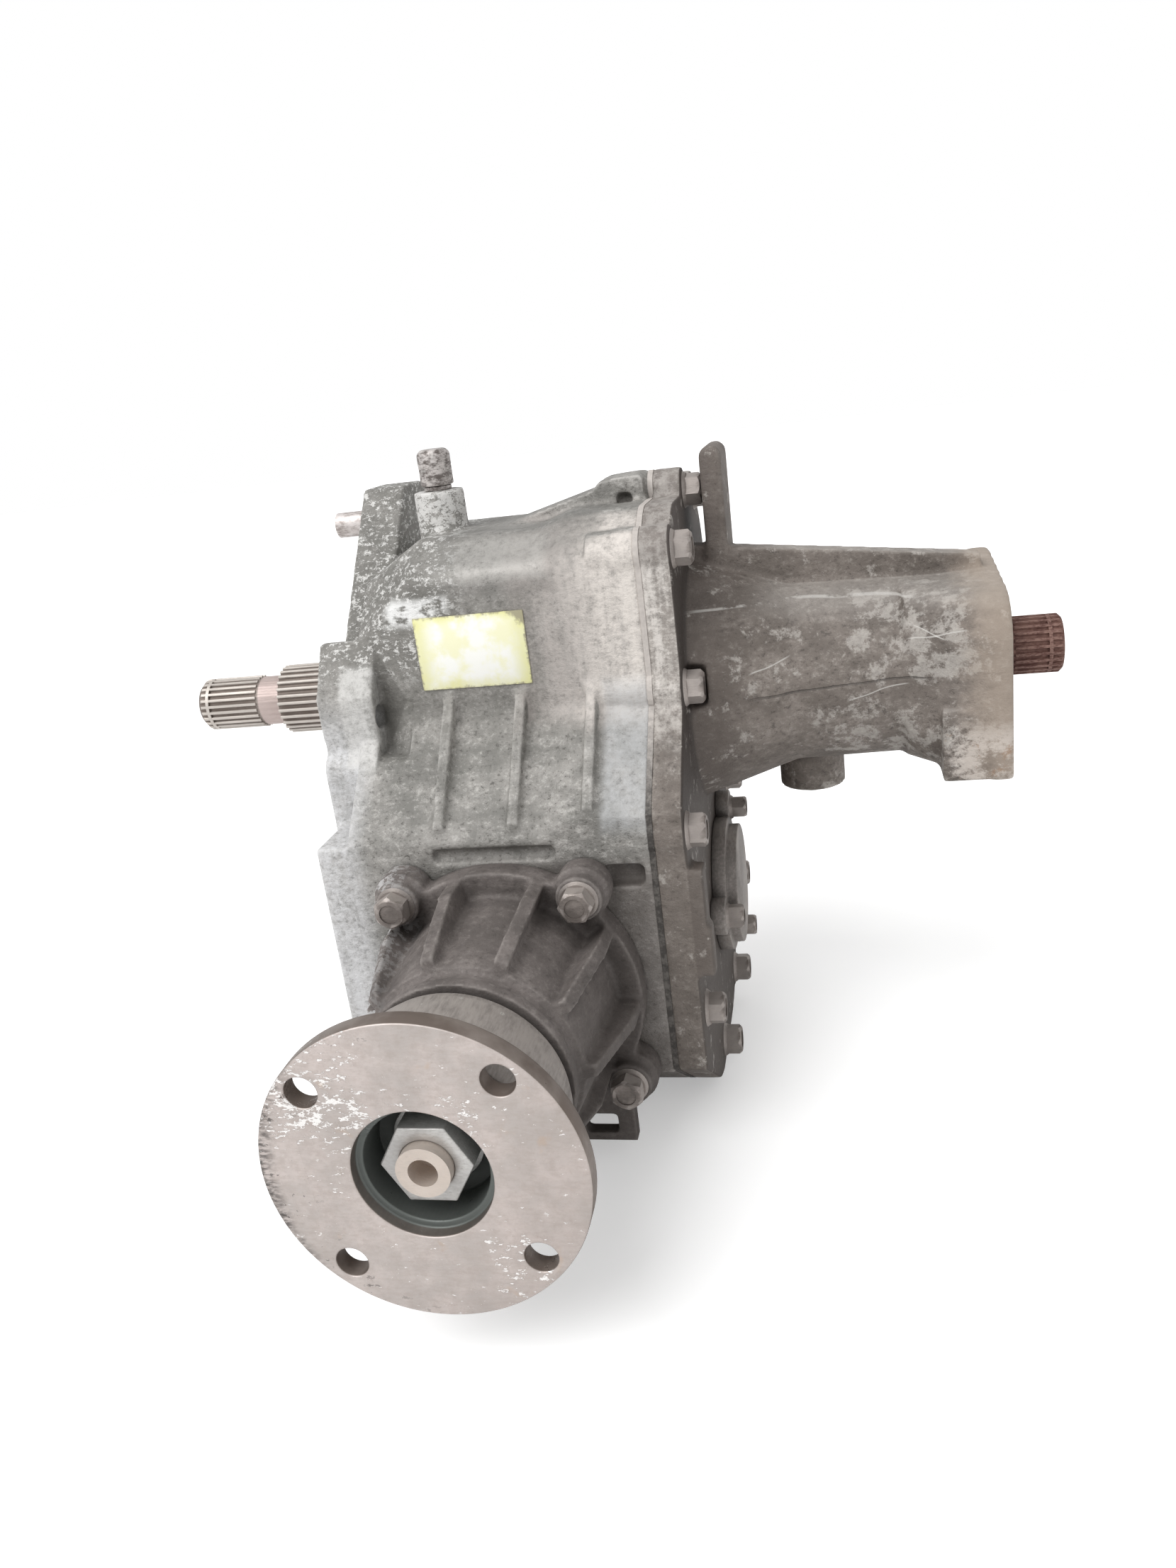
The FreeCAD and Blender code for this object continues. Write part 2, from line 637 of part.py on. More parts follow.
# ------------------------------------------------------------------ pinion housing
def pinion_housing():
    """Cone that carries the pinion bearings: joint flange, ribs, neck, and a pilot into the case."""
    joint = S.lower_front + S.joint_shim
    shoulder = joint + S.housing_flange
    axis = (S.pinion_x, low)
    body = tube("y", joint, shoulder, S.housing_rim, axis)
    for x, z in housing_bolts:
        place = (S.pinion_x + x, low + z)
        body = body.fuse([tube("y", joint, shoulder, 12, place), tube("y", joint, shoulder + 6, 10, place)])
    flare_end = S.neck_end - 11
    body = body.fuse([tube("y", shoulder, flare_end, S.housing_shoulder, axis, S.neck_radius + 1.5),
                      tube("y", flare_end, S.neck_end, S.neck_radius - 1, axis),
                      tube("y", S.neck_end - 5, S.neck_end, S.neck_radius, axis)])
    rib = rounded([(S.neck_radius - 8, flare_end + 1, 1), (S.neck_radius + 6, flare_end - 1, 2),
                   (S.housing_rim - 1, shoulder + 15, 3), (S.housing_rim - 1, joint + 2, 1),
                   (S.neck_radius - 8, joint + 2, 1)])
    for k in range(10):
        face = Part.Face(rib)
        face.Placement = Placement(Vector(0, 0, -3), Rotation(Vector(1, 0, 0), 0))
        web = face.extrude(Vector(0, 0, 6))
        # outline is (radius, depth): stand it in the XY plane with depth towards -Y, then turn about the axis
        web = web.mirror(Vector(0, 0, 0), Vector(0, 1, 0))
        web.rotate(Vector(0, 0, 0), Vector(0, -1, 0), 33 + 36 * k)
        web.translate(Vector(float(S.pinion_x), 0, float(low)))
        body = body.fuse(web)
    body = body.fuse(tube("y", pinion_back + 1, joint + 1, S.pilot_radius - S.running_fit, axis))
    # bracket under the flange, with a window in it
    left, right, base = S.pinion_x + 22, S.pinion_x + 49, low - 76
    body = body.fuse(brick(left, right, -joint - 8, -joint, base, low - 45))
    body = body.cut(brick(left + 4, right - 8, -joint - 9, -joint + 1, base + 4, base + 14))
    seal_end = outer_bearing_end + 2 + S.pinion_seal_width
    body = body.cut([
        tube("y", pinion_back, inner_bearing_end, S.inner_bearing_outer, axis),
        tube("y", inner_bearing_end - 1, S.outer_bearing_start + 1, S.outer_bearing_outer - 3, axis),
        tube("y", S.outer_bearing_start, S.neck_end + 1, S.outer_bearing_outer, axis),
    ])
    for x, z in housing_bolts:
        place = (S.pinion_x + x, low + z)
        body = body.cut([tube("y", joint - 1, shoulder + 7, S.bolt_radius + S.hole_play, place),
                         tube("y", shoulder + 6, S.neck_end, S.washer_radius + 1.5, place)])
    return body


# ------------------------------------------------------------------ cover with extension tube
def side_cover():
    """Right-hand cover: joint flange, bearing seats, and the long tube round the through shaft."""
    body = rim(cover_start, cover_face)
    centre = (0, -S.tube_drop)
    root_end = cover_face + S.tube_taper
    body = body.fuse([tube("x", cover_face - 2, root_end, S.tube_root, centre, S.tube_radius),
                      tube("x", root_end - 1, S.tube_end - 1, S.tube_radius, centre, S.tube_tip)])
    # the end swells to a plate with a sloping top, over a square foot
    half = S.end_half
    foot_start = S.tube_end - S.end_flange
    plate_start = S.tube_end - S.end_plate
    low_side, high_side = -S.tube_drop - S.tube_tip, S.tube_tip - S.tube_drop
    swell = [(-S.tube_tip, low_side, 30), (S.tube_tip, low_side, 30),
             (S.tube_tip, high_side, 30), (-S.tube_tip, high_side, 30)]
    end_plate = [(-half - 3, -half, 6), (half, -half, 6), (half, half - 4, 20), (-half - 3, 31, 22)]
    body = body.fuse([lofted(rounded(swell), foot_start - 14, rounded(end_plate), plate_start),
                      across(rounded(end_plate), plate_start, S.tube_end),
                      brick(foot_start, S.tube_end - 1, -half - 1, half - 1, -half + 1, -half + 33)])
    # web along the top of the tube, boss under it, and pads on the front edge of the flange
    top_web = rounded([(cover_face - 2, 10, 1), (cover_face - 2, 60, 1), (cover_face + 22, 57, 3),
                       (plate_start + 1, half - 4, 1), (plate_start + 1, 10, 1)])
    front = -S.lower_front - 0.5
    body = body.fuse([tube("z", -68, -20, 16, (cover_face + 50, 22)),
                      brick(cover_face - 2, cover_face + 6, front, front + 12, low + 26, low + 52),
                      brick(cover_face - 2, cover_face + 7.5, front, front + 10, low + 2, low + 25)])
    lug = rounded([(cover_face + 9, 20, 1), (cover_face + 9, S.lug_top, 4.8),
                   (cover_face + 19, S.lug_top, 4.8), (cover_face + 19, 20, 1)])
    body = body.fuse([forward(top_web, -8, 4, 0, 0), forward(lug, -28, 6, 0, 0)])
    # rings round the bearings, inside and out
    body = body.fuse([tube("x", cover_start - 4, cover_face, S.lower_bearing_outer + 6, (0, low)),
                      tube("x", cover_start - 4, cover_face, S.input_bearing_outer + 6)])
    body = body.cut([
        tube("x", cover_start - 5, cover_face + 1, S.lower_bearing_outer, (0, low)),
        tube("x", cover_start - 5, right_bearing + S.input_bearing_width, S.input_bearing_outer),
        tube("x", cover_start - 5, root_end, S.input_bearing_outer - 4),
        tube("x", cover_face + 3, root_end, S.tube_root - S.tube_wall - 6, centre, S.tube_radius - S.tube_wall),
        tube("x", root_end - 1, end_bearing - 6, S.tube_radius - S.tube_wall, centre),
        tube("x", end_bearing - 7, end_bearing, S.end_bearing_outer - 3),
        tube("x", end_bearing, S.tube_end + 1, S.end_bearing_outer),
    ])
    head_end = cover_face + S.washer_height + S.head_height + 0.4
    for y, z in rim_bolts:
        body = body.cut([tube("x", cover_start - 1, cover_face + 1, S.bolt_radius + S.hole_play, (y, z)),
                         tube("x", cover_face, head_end, S.washer_radius + 1.5, (y, z))])
    for y, z in cap_bolts:
        body = body.cut(tube("x", cover_face - 12, cover_face + 1, S.cap_bolt_radius, (y, z)))
    for y, z in end_holes:
        body = body.cut(tube("x", S.tube_end - 16, S.tube_end + 1, S.end_hole, (y, z)))
    return body


named("main_case", solid(main_case(), "MainCase"))
named("pinion_housing", solid(pinion_housing(), "PinionHousing"))
named("side_cover", solid(side_cover(), "SideCover"))


# ------------------------------------------------------------------ joints between the castings
def cover_gasket():
    """Thin gasket that follows the cover joint outside the cavity."""
    sheet_form = rim(S.case_length, cover_start)
    holes = [tube("x", S.case_length - 1, cover_start + 1, S.bolt_radius + S.hole_play, line) for line in rim_bolts]
    opening = cavity()
    bosses = [tube("x", S.case_length - 1, cover_start + 1, S.lower_bearing_outer + 7, (0, low)),
              tube("x", S.case_length - 1, cover_start + 1, S.input_bearing_outer + 7)]
    return sheet_form.cut([opening] + holes + bosses)


named("cover_gasket", solid(cover_gasket(), "CoverGasket"))
named("housing_shim", ring("y", S.lower_front, S.lower_front + S.joint_shim, 52, S.pilot_radius,
                           (S.pinion_x, low)))
group("cover_bolts", [bolt("x", cover_face, line, S.cover_flange + S.gasket + S.bolt_grip - 2)
                      for line in rim_bolts])
boss_face = S.lower_front + S.joint_shim + S.housing_flange + 6
group("housing_bolts", [bolt("y", boss_face, (S.pinion_x + x, low + z),
                             boss_face - S.lower_front + S.bolt_grip - 2) for x, z in housing_bolts])
group("dowel_pins", [fuse(rod("x", -S.dowel_reach, -0.5, S.dowel_radius, line),
                          rod("x", -1, S.mount_foot - 2, S.dowel_shank, line)) for line in dowels])


# ------------------------------------------------------------------ breather
vent = (S.pinion_x - 33, 0)
boss_top = S.case_top + 18.5
named("breather_tube", cut(
    fuse(rod("z", S.case_top + 9, boss_top + 6, S.breather_stem, vent),
         rod("z", boss_top, boss_top + 2, S.breather_stem + 1.5, vent)),
    rod("z", S.case_top + 8, boss_top + 7, S.breather_stem - 3, vent)))
named("breather_cap", cut(
    fuse(rod("z", boss_top + 2 + S.side_play, boss_top + 17, S.breather_cap, vent),
         cone("z", boss_top + 17, boss_top + 19, S.breather_cap, S.breather_cap - 2, vent)),
    rod("z", boss_top, boss_top + 6 + S.breather_lift, S.breather_stem + S.running_fit * 2, vent)))


# ------------------------------------------------------------------ fill and drain plugs
def plug(label, axis, face, line):
    """Hex plug with its shank in the casting and its head outside, below the face."""
    shank = rod(axis, face - S.plug_seat - 0.5, face + S.case_wall - 1, S.plug_radius, line)
    return named(label, fuse(shank, hexagon(axis, face - S.plug_seat - 8, face - S.plug_seat, S.plug_flats, line)))


plug("fill_plug", "y", -lower_radius, fill_line)
plug("drain_plug", "z", low - lower_radius, drain_line)
group("plug_washers", [
    ring("y", -lower_radius - S.plug_seat, -lower_radius, S.plug_radius + 5, S.plug_radius, fill_line),
    ring("z", low - lower_radius - S.plug_seat, low - lower_radius, S.plug_radius + 5, S.plug_radius, drain_line)])


# ------------------------------------------------------------------ PartDesign helpers
def body_at(label, x=0, y=0, z=0):
    """Body whose own origin sits at a point of the assembly."""
    obj = doc.addObject("PartDesign::Body", "Body")
    return named(label, put(obj, "z", x, y, z))


def sketch(body, plane, depth=0, circles=(), corners=()):
    """Sketch on one of the body's origin planes, with its sizes tied to the sheet."""
    base = next(item for item in body.Origin.OriginFeatures if item.Role == plane)
    drawing = body.newObject("Sketcher::SketchObject", "Sketch")
    drawing.AttachmentSupport = [(base, "")]
    drawing.MapMode = "FlatFace"
    drawing.AttachmentOffset = Placement(Vector(0, 0, float(depth)), Rotation())
    if isinstance(depth, Size):
        drawing.setExpression("AttachmentOffset.Base.z", depth.formula)

    def fix(kind, *where):
        index = drawing.addConstraint(Sketcher.Constraint(kind, *where[:-1], float(where[-1])))
        if isinstance(where[-1], Size):
            drawing.setExpression("Constraints[%d]" % index, where[-1].formula)

    for u, v, radius in circles:
        circle = drawing.addGeometry(Part.Circle(Vector(float(u), float(v), 0), Vector(0, 0, 1), float(radius)))
        fix("Radius", circle, radius)
        if u == 0 and v == 0:
            drawing.addConstraint(Sketcher.Constraint("Coincident", circle, 3, -1, 1))
        else:
            fix("DistanceX", -1, 1, circle, 3, u)
            fix("DistanceY", -1, 1, circle, 3, v)
    count = len(corners)
    lines = []
    for i, (u, v) in enumerate(corners):
        after = corners[(i + 1) % count]
        lines.append(drawing.addGeometry(Part.LineSegment(
            Vector(float(u), float(v), 0), Vector(float(after[0]), float(after[1]), 0))))
    for i, (u, v) in enumerate(corners):
        drawing.addConstraint(Sketcher.Constraint("Coincident", lines[i - 1], 2, lines[i], 1))
        fix("DistanceX", -1, 1, lines[i], 1, u)
        fix("DistanceY", -1, 1, lines[i], 1, v)
    return drawing


def pad(body, profile, length, back=False):
    feature = body.newObject("PartDesign::Pad", "Pad")
    feature.Profile = profile
    bind(feature, Length=length)
    feature.Reversed = back
    return feature


def pocket(body, profile, length, back=False):
    """Cuts a profile into the body and makes sure that something was cut."""
    doc.recompute()
    before = body.Shape.Volume
    feature = body.newObject("PartDesign::Pocket", "Pocket")
    feature.Profile = profile
    bind(feature, Length=length)
    feature.Reversed = back
    doc.recompute()
    if body.Shape.Volume >= before:
        raise ValueError(body.Label + ": pocket cuts nothing")
    return feature


def around(body, feature, drawing, count):
    pattern = body.newObject("PartDesign::PolarPattern", "PolarPattern")
    pattern.Originals = [feature]
    pattern.Axis = (drawing, ["N_Axis"])
    pattern.Angle = 360
    pattern.Occurrences = count
    body.Tip = pattern
    return pattern


# ------------------------------------------------------------------ lower bearing cap and label plate
cap = body_at("lower_bearing_cap", cover_face, 0, low)
pad(cap, sketch(cap, "YZ_Plane", 0, circles=[(0, 0, S.lower_bearing_outer - 1)]), S.cap_plate + 5)
pad(cap, sketch(cap, "YZ_Plane", 0, circles=[(0, 0, S.lower_bearing_outer + 3)]), S.cap_plate)
for y, z in cap_bolts:
    pad(cap, sketch(cap, "YZ_Plane", 0, circles=[(y, z - low, S.cap_bolt_radius + 6)]), S.cap_plate)
for y, z in cap_bolts:
    pocket(cap, sketch(cap, "YZ_Plane", 0, circles=[(y, z - low, S.cap_bolt_radius + S.hole_play)]),
           S.cap_plate + 6, back=True)
pocket(cap, sketch(cap, "YZ_Plane", 0, circles=[(0, 0, S.lower_bearing_outer - 9)]), S.cap_plate, back=True)
group("cap_bolts", [bolt("x", cover_face + S.cap_plate, line, S.cap_plate + 11, S.bolt_flats - 3, S.cap_bolt_radius)
                    for line in cap_bolts])
plate = body_at("label_plate", S.pinion_x - 10, -S.case_front, 30)
pad(plate, sketch(plate, "XZ_Plane", 0, corners=[(-S.label_width / 2, -S.label_height / 2),
                                                 (S.label_width / 2, -S.label_height / 2),
                                                 (S.label_width / 2, S.label_height / 2),
                                                 (-S.label_width / 2, S.label_height / 2)]), S.label_thickness)


# ------------------------------------------------------------------ input line
def gear(label, start, tip_line, teeth, phase, bore):
    """Spur gear about a line parallel to the input axis."""
    outline = involute(teeth, S.gear_module, S.gear_module * (teeth + 2) / 2 - 0.1,
                       S.gear_module * (teeth - 2.5) / 2, S.tooth_play, phase)
    wheel = across(outline, start, start + S.gear_width)
    wheel.translate(Vector(0, 0, float(tip_line)))
    line = (0, tip_line)
    pitch = S.gear_module * teeth / 2
    wheel = wheel.cut([tube("x", start - 1, start + S.gear_width + 1, bore, line),
                       tube("x", start - 1, start + 3, pitch - 7, line).cut(
                           tube("x", start - 1, start + 3, bore + 7, line)),
                       tube("x", start + S.gear_width - 3, start + S.gear_width + 1, pitch - 7, line).cut(
                           tube("x", start + S.gear_width - 3, start + S.gear_width + 1, bore + 7, line))])
    return named(label, solid(wheel, "Gear"))


gear("input_gear", S.gear_left, 0, S.input_teeth, -math.pi / 2, S.input_journal + 1.5)
gear("driven_gear", S.gear_left, low, S.driven_teeth, math.pi / 2 + math.pi / S.driven_teeth, S.lower_journal + 5)

hollow = fuse(
    solid(spline(-S.input_reach, -6, S.input_spline, 29), "Spline"),
    rod("x", -6, S.input_bearing_left + S.input_bearing_width, S.input_journal),
    rod("x", S.input_bearing_left + S.input_bearing_width, gear_right, S.input_journal + 1.5),
    rod("x", gear_right, right_bearing - 1, S.input_journal + 3),
    rod("x", right_bearing - 1, shaft_end, S.input_journal))
named("input_shaft", cut(hollow, rod("x", -S.input_reach - 1, shaft_end + 1, S.input_bore)))
ball_bearing("input_bearing", [S.input_bearing_left, right_bearing], S.input_bearing_width,
             S.input_journal, S.input_bearing_outer, 14)
named("input_seal", ring("x", S.input_bearing_left - S.input_seal_width - 1, S.input_bearing_left - 1,
                         S.input_seal_outer, S.input_journal + S.running_fit))
named("shaft_bushing", ring("x", -S.input_reach + 3, -S.input_reach + 23, S.input_bore,
                            S.through_radius + S.running_fit))


# ------------------------------------------------------------------ through shaft and its end bearing
shaft = fuse(
    solid(spline(-S.through_left, -S.through_left + 33, S.through_spline, 25).common(
        tube("x", -S.through_left, -S.through_left + 3, S.through_spline - 2.5, (0, 0), S.through_spline + 0.5).fuse(
            tube("x", -S.through_left + 3, -S.through_left + 33, S.through_spline + 0.5))), "Spline"),
    rod("x", -S.through_left + 33, S.tube_end + 6, S.through_radius),
    solid(spline(S.tube_end + 6, through_right, S.through_spline, 25).common(
        tube("x", S.tube_end + 6, through_right - 2, S.through_spline + 0.5).fuse(
            tube("x", through_right - 2, through_right, S.through_spline + 0.5, (0, 0),
                 S.through_spline - 1.5))), "Spline"))
grooves = [ring("x", -S.through_left + 5, -S.through_left + 6.6, S.through_spline + 2, S.through_spline - 2),
           ring("x", through_right - 6.6, through_right - 5, S.through_spline + 2, S.through_spline - 2),
           ring("x", end_bearing - 1.8, end_bearing, S.through_radius + 2, S.through_radius - 1)]
named("through_shaft", cut(shaft, *grooves))
ball_bearing("end_bearing", [end_bearing], S.end_bearing_width, S.through_radius, S.end_bearing_outer, 9)
named("end_seal", ring("x", end_seal, S.tube_end - 1, S.end_bearing_outer, S.through_radius + S.running_fit))
named("dust_ring", ring("x", S.tube_end + 1, S.tube_end + 4, S.end_bearing_outer - 2, S.through_radius))
group("snap_rings", [
    ring("x", -S.through_left + 5, -S.through_left + 6.6, S.through_spline, S.through_spline - 2),
    ring("x", through_right - 6.6, through_right - 5, S.through_spline, S.through_spline - 2)])
named("bearing_circlip", ring("x", end_bearing - 1.8, end_bearing, S.through_radius + 2, S.through_radius - 1))


# ------------------------------------------------------------------ ring gear shaft
def ring_gear():
    """Bevel wheel: a turned blank whose tooth spaces all run to the point where the axes cross."""
    apex = Vector(float(S.pinion_x), 0, float(low))
    reach = math.hypot(ring_pitch, pinion_pitch)
    run = Vector(pinion_pitch / reach, ring_pitch / reach, 0)      # along the pitch cone: (axial, radial)
    rise = Vector(-ring_pitch / reach, pinion_pitch / reach, 0)    # out of it, towards the pinion
    tip = 0.75 * S.bevel_module
    root = 1.45 * S.bevel_module
    inner = (reach - S.bevel_face) / reach

    def station(scale, height):
        return (run * reach + rise * float(height)) * scale

    tip_out, tip_in = station(1, tip), station(inner, tip)
    root_out, root_in = station(1, -root - 2), station(inner, -root - 2)
    back = float(S.ring_back)
    hub = float(S.lower_journal) + 15
    profile = [tip_in, tip_out, root_out, Vector(back, root_out.y - 1, 0), Vector(back, hub, 0),
               Vector(root_in.x + 1, hub, 0), root_in]
    section = Part.Face(Part.makePolygon(profile + profile[:1]))
    blank = section.revolve(Vector(0, 0, 0), Vector(1, 0, 0), 360)
    half = (math.pi * S.bevel_module + S.tooth_play) / 4
    lean = math.tan(math.radians(20))
    spaces = []
    for k in range(int(S.ring_teeth)):
        rings = []
        for scale in (inner * 0.8, 1.15):
            corners = []
            for height, side in ((-root, -1), (2 * tip, -1), (2 * tip, 1), (-root, 1)):
                middle = (run * reach + rise * float(height)) * scale
                corners.append(Vector(middle.x, middle.y, side * scale * (half + height * lean)))
            rings.append(corners)
        near, far = rings
        faces = [Part.Face(Part.makePolygon(near + near[:1])), Part.Face(Part.makePolygon(far + far[:1]))]
        for i in range(4):
            j = (i + 1) % 4
            faces.append(Part.Face(Part.makePolygon([near[i], near[j], far[j], far[i], near[i]])))
        space = Part.Solid(Part.Shell(faces))
        space.rotate(Vector(), Vector(1, 0, 0), 180 + 360 * k / float(S.ring_teeth))
        spaces.append(space)
    wheel = blank.cut(spaces)
    for k in range(8):
        angle = 2 * math.pi * k / 8
        place = (ring_bolt_circle * math.cos(angle), ring_bolt_circle * math.sin(angle))
        wheel = wheel.cut(tube("x", S.ring_back - 11, S.ring_back + 1, S.bolt_radius, place))
    wheel.translate(apex)
    return wheel


ring_bolt_circle = S.lower_journal + 22
named("ring_gear", solid(ring_gear(), "RingGear"))
carrier = fuse(
    rod("x", lower_bearing_left, cavity_left, S.lower_journal, (0, low)),
    rod("x", cavity_left, gear_right, S.lower_journal + 5, (0, low)),
    rod("x", gear_right, ring_face + 9, S.lower_journal + 8, (0, low)),
    rod("x", ring_face - 10, ring_face, S.lower_journal + 15, (0, low)),
    rod("x", ring_face, ring_face + 9, ring_bolt_circle + 9, (0, low)),
    rod("x", ring_face + 9, lower_bearing_right, S.lower_journal + 5, (0, low)),
    rod("x", lower_bearing_right, cover_face - 1, S.lower_journal, (0, low)))
ring_bolts = [(ring_bolt_circle * math.cos(math.pi * k / 4), low + ring_bolt_circle * math.sin(math.pi * k / 4))
              for k in range(8)]
named("ring_gear_shaft", cut(carrier, *[rod("x", ring_face - 1, ring_face + 10, S.bolt_radius, line)
                                        for line in ring_bolts]))
group("ring_gear_bolts", [bolt("x", ring_face + 9, line, 19) for line in ring_bolts])
named("gear_spacer", ring("x", cavity_left, S.gear_left, S.lower_journal + 9, S.lower_journal + 5, (0, low)))
roller_bearing("lower_bearing", "x", [lower_bearing_left, lower_bearing_right], S.lower_bearing_width,
               S.lower_journal, S.lower_bearing_outer, 15, (0, low), (True, False))


# ------------------------------------------------------------------ pinion and companion flange
def pinion_head():
    """Bevel pinion: a tapered core with teeth that run to the point where the axes cross."""
    reach = math.hypot(ring_pitch, pinion_pitch)
    run = Vector(pinion_pitch / reach, -ring_pitch / reach, 0)     # (radial, -depth)
    rise = Vector(ring_pitch / reach, pinion_pitch / reach, 0)
    virtual = pinion_pitch * reach / ring_pitch
    base = virtual * math.cos(math.radians(20))
    tip = 1.2 * S.bevel_module
    root = 1.0 * S.bevel_module
    inner = (reach - S.bevel_face) / reach
    half = (math.pi * S.bevel_module - S.tooth_play) / 4 / virtual

    def width(height):
        radius = virtual + height
        start = math.acos(base / virtual)
        turned = math.acos(base / radius) if radius > base else 0.0
        return radius * (half + math.tan(start) - start - math.tan(turned) + turned)

    heights = [float(-root - 1.5), -1.3, 0.0, float(tip) / 3, float(tip) * 2 / 3, float(tip)]
    core_out, core_in = [(run * reach + rise * float(-root)) * scale for scale in (1.0, inner)]
    profile = [Vector(0, core_in.y, 0), core_in, core_out, Vector(core_out.x, core_out.y - 2, 0),
               Vector(0, core_out.y - 2, 0)]
    head = Part.Face(Part.makePolygon(profile + profile[:1])).revolve(Vector(), Vector(0, 1, 0), 360)
    teeth = []
    for k in range(int(S.pinion_teeth)):
        rings = []
        for scale in (inner, 1.0):
            corners = []
            for height, side in [(h, 1) for h in heights] + [(h, -1) for h in reversed(heights)]:
                middle = (run * reach + rise * height) * scale
                corners.append(Vector(middle.x, middle.y, side * scale * width(height)))
            rings.append(corners)
        near, far = rings
        count = len(near)
        faces = [Part.Face(Part.makePolygon(near + near[:1])), Part.Face(Part.makePolygon(far + far[:1]))]
        for i in range(count):
            j = (i + 1) % count
            faces.append(Part.Face(Part.makePolygon([near[i], near[j], far[j], far[i], near[i]])))
        tooth = Part.Solid(Part.Shell(faces))
        tooth.rotate(Vector(), Vector(0, 1, 0), 360 * k / float(S.pinion_teeth))
        teeth.append(tooth)
    head = head.fuse(teeth)
    head.translate(Vector(float(S.pinion_x), 0, float(low)))
    return head


output = (S.pinion_x, low)
stem = fuse(
    solid(pinion_head(), "PinionHead"),
    rod("y", ring_pitch + 1, pinion_back, S.pinion_journal + 4, output),
    rod("y", ring_pitch + 1, inner_bearing_end, S.pinion_journal, output),
    rod("y", inner_bearing_end, outer_bearing_end, S.tail_journal, output),
    rod("y", outer_bearing_end - 1, nut_face + 4.5, S.tail_journal - 2.5, output))
named("drive_pinion", cut(stem, rod("y", nut_face - 6, nut_face + 6, 5.5, output)))
named("pinion_shim", ring("y", pinion_back, pinion_back + 1, S.pinion_journal + 7, S.pinion_journal, output))
roller_bearing("inner_pinion_bearing", "y", [pinion_back + 1], S.inner_bearing_width, S.pinion_journal,
               S.inner_bearing_outer, 15, output, (False,))
roller_bearing("outer_pinion_bearing", "y", [S.outer_bearing_start], S.outer_bearing_width, S.tail_journal,
               S.outer_bearing_outer, 14, output, (True,))
named("preload_spacer", ring("y", inner_bearing_end, S.outer_bearing_start, S.tail_journal + 4,
                             S.tail_journal, output))
named("pinion_seal", ring("y", outer_bearing_end + 2, outer_bearing_end + 2 + S.pinion_seal_width,
                          S.outer_bearing_outer, S.hub_radius + S.running_fit, output))

coupling = body_at("companion_flange", S.pinion_x, 0, low)
pad(coupling, sketch(coupling, "XZ_Plane", outer_bearing_end, circles=[(0, 0, S.hub_radius)]),
    seat_face - outer_bearing_end)
pad(coupling, sketch(coupling, "XZ_Plane", damper_back + 14, circles=[(0, 0, S.flange_recess + 7)]),
    S.flange_face - damper_back - 14)
pad(coupling, sketch(coupling, "XZ_Plane", plate_back, circles=[(0, 0, S.flange_radius)]), S.flange_plate)
pocket(coupling, sketch(coupling, "XZ_Plane", S.flange_face, circles=[(0, 0, S.flange_recess)]), 5)
pocket(coupling, sketch(coupling, "XZ_Plane", S.flange_face, circles=[(0, 0, S.flange_recess - 2.7)]),
       S.flange_face - seat_face)
pocket(coupling, sketch(coupling, "XZ_Plane", S.flange_face, circles=[(0, 0, S.tail_journal - 2.5)]),
       S.flange_face - outer_bearing_end + 1)
angle = math.radians(49.1)
hole_sketch = sketch(coupling, "XZ_Plane", S.flange_face, circles=[
    (S.flange_bolt_circle * math.cos(angle), S.flange_bolt_circle * math.sin(angle), S.flange_hole)])
hole = pocket(coupling, hole_sketch, S.flange_plate + 1)
around(coupling, hole, hole_sketch, 4)

named("damper_ring", cut(
    fuse(cone("y", damper_back, damper_back + 6, S.damper_radius - 2, S.damper_radius, output),
         rod("y", damper_back + 6, plate_back, S.damper_radius, output)),
    rod("y", damper_back - 1, damper_back + 14, S.hub_radius, output),
    rod("y", damper_back + 13.9, plate_back + 1, S.flange_recess + 7, output)))
named("flange_washer", ring("y", seat_face, seat_face + 1, 17, S.tail_journal - 2.5, output))
nut = body_at("flange_nut", S.pinion_x, 0, low)
corner = S.nut_flats / math.sqrt(3)
pad(nut, sketch(nut, "XZ_Plane", seat_face + 1, corners=[
    (corner * math.cos(math.radians(a)), corner * math.sin(math.radians(a))) for a in range(0, 360, 60)]),
    S.nut_height)
pocket(nut, sketch(nut, "XZ_Plane", nut_face, circles=[(0, 0, S.tail_journal - 2.5)]), S.nut_height + 1)


# ------------------------------------------------------------------ check and write
doc.recompute()
for obj in doc.Objects:
    if "Invalid" in obj.State or "Error" in obj.State:
        raise ValueError("failed: " + obj.Label)
for label, obj in parts.items():
    if obj.Shape.isNull() or not obj.Shape.isValid():
        raise ValueError("bad shape: " + label)
os.makedirs("parts", exist_ok=True)
for label, obj in parts.items():
    obj.Shape.exportStep("parts/" + label + ".step")
print(len(parts), "parts written")
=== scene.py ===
"""Looks of the transfer case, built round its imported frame. Metres, same frame as the solids."""

import json
import math

import bmesh
import bpy
from mathutils import Matrix, Vector

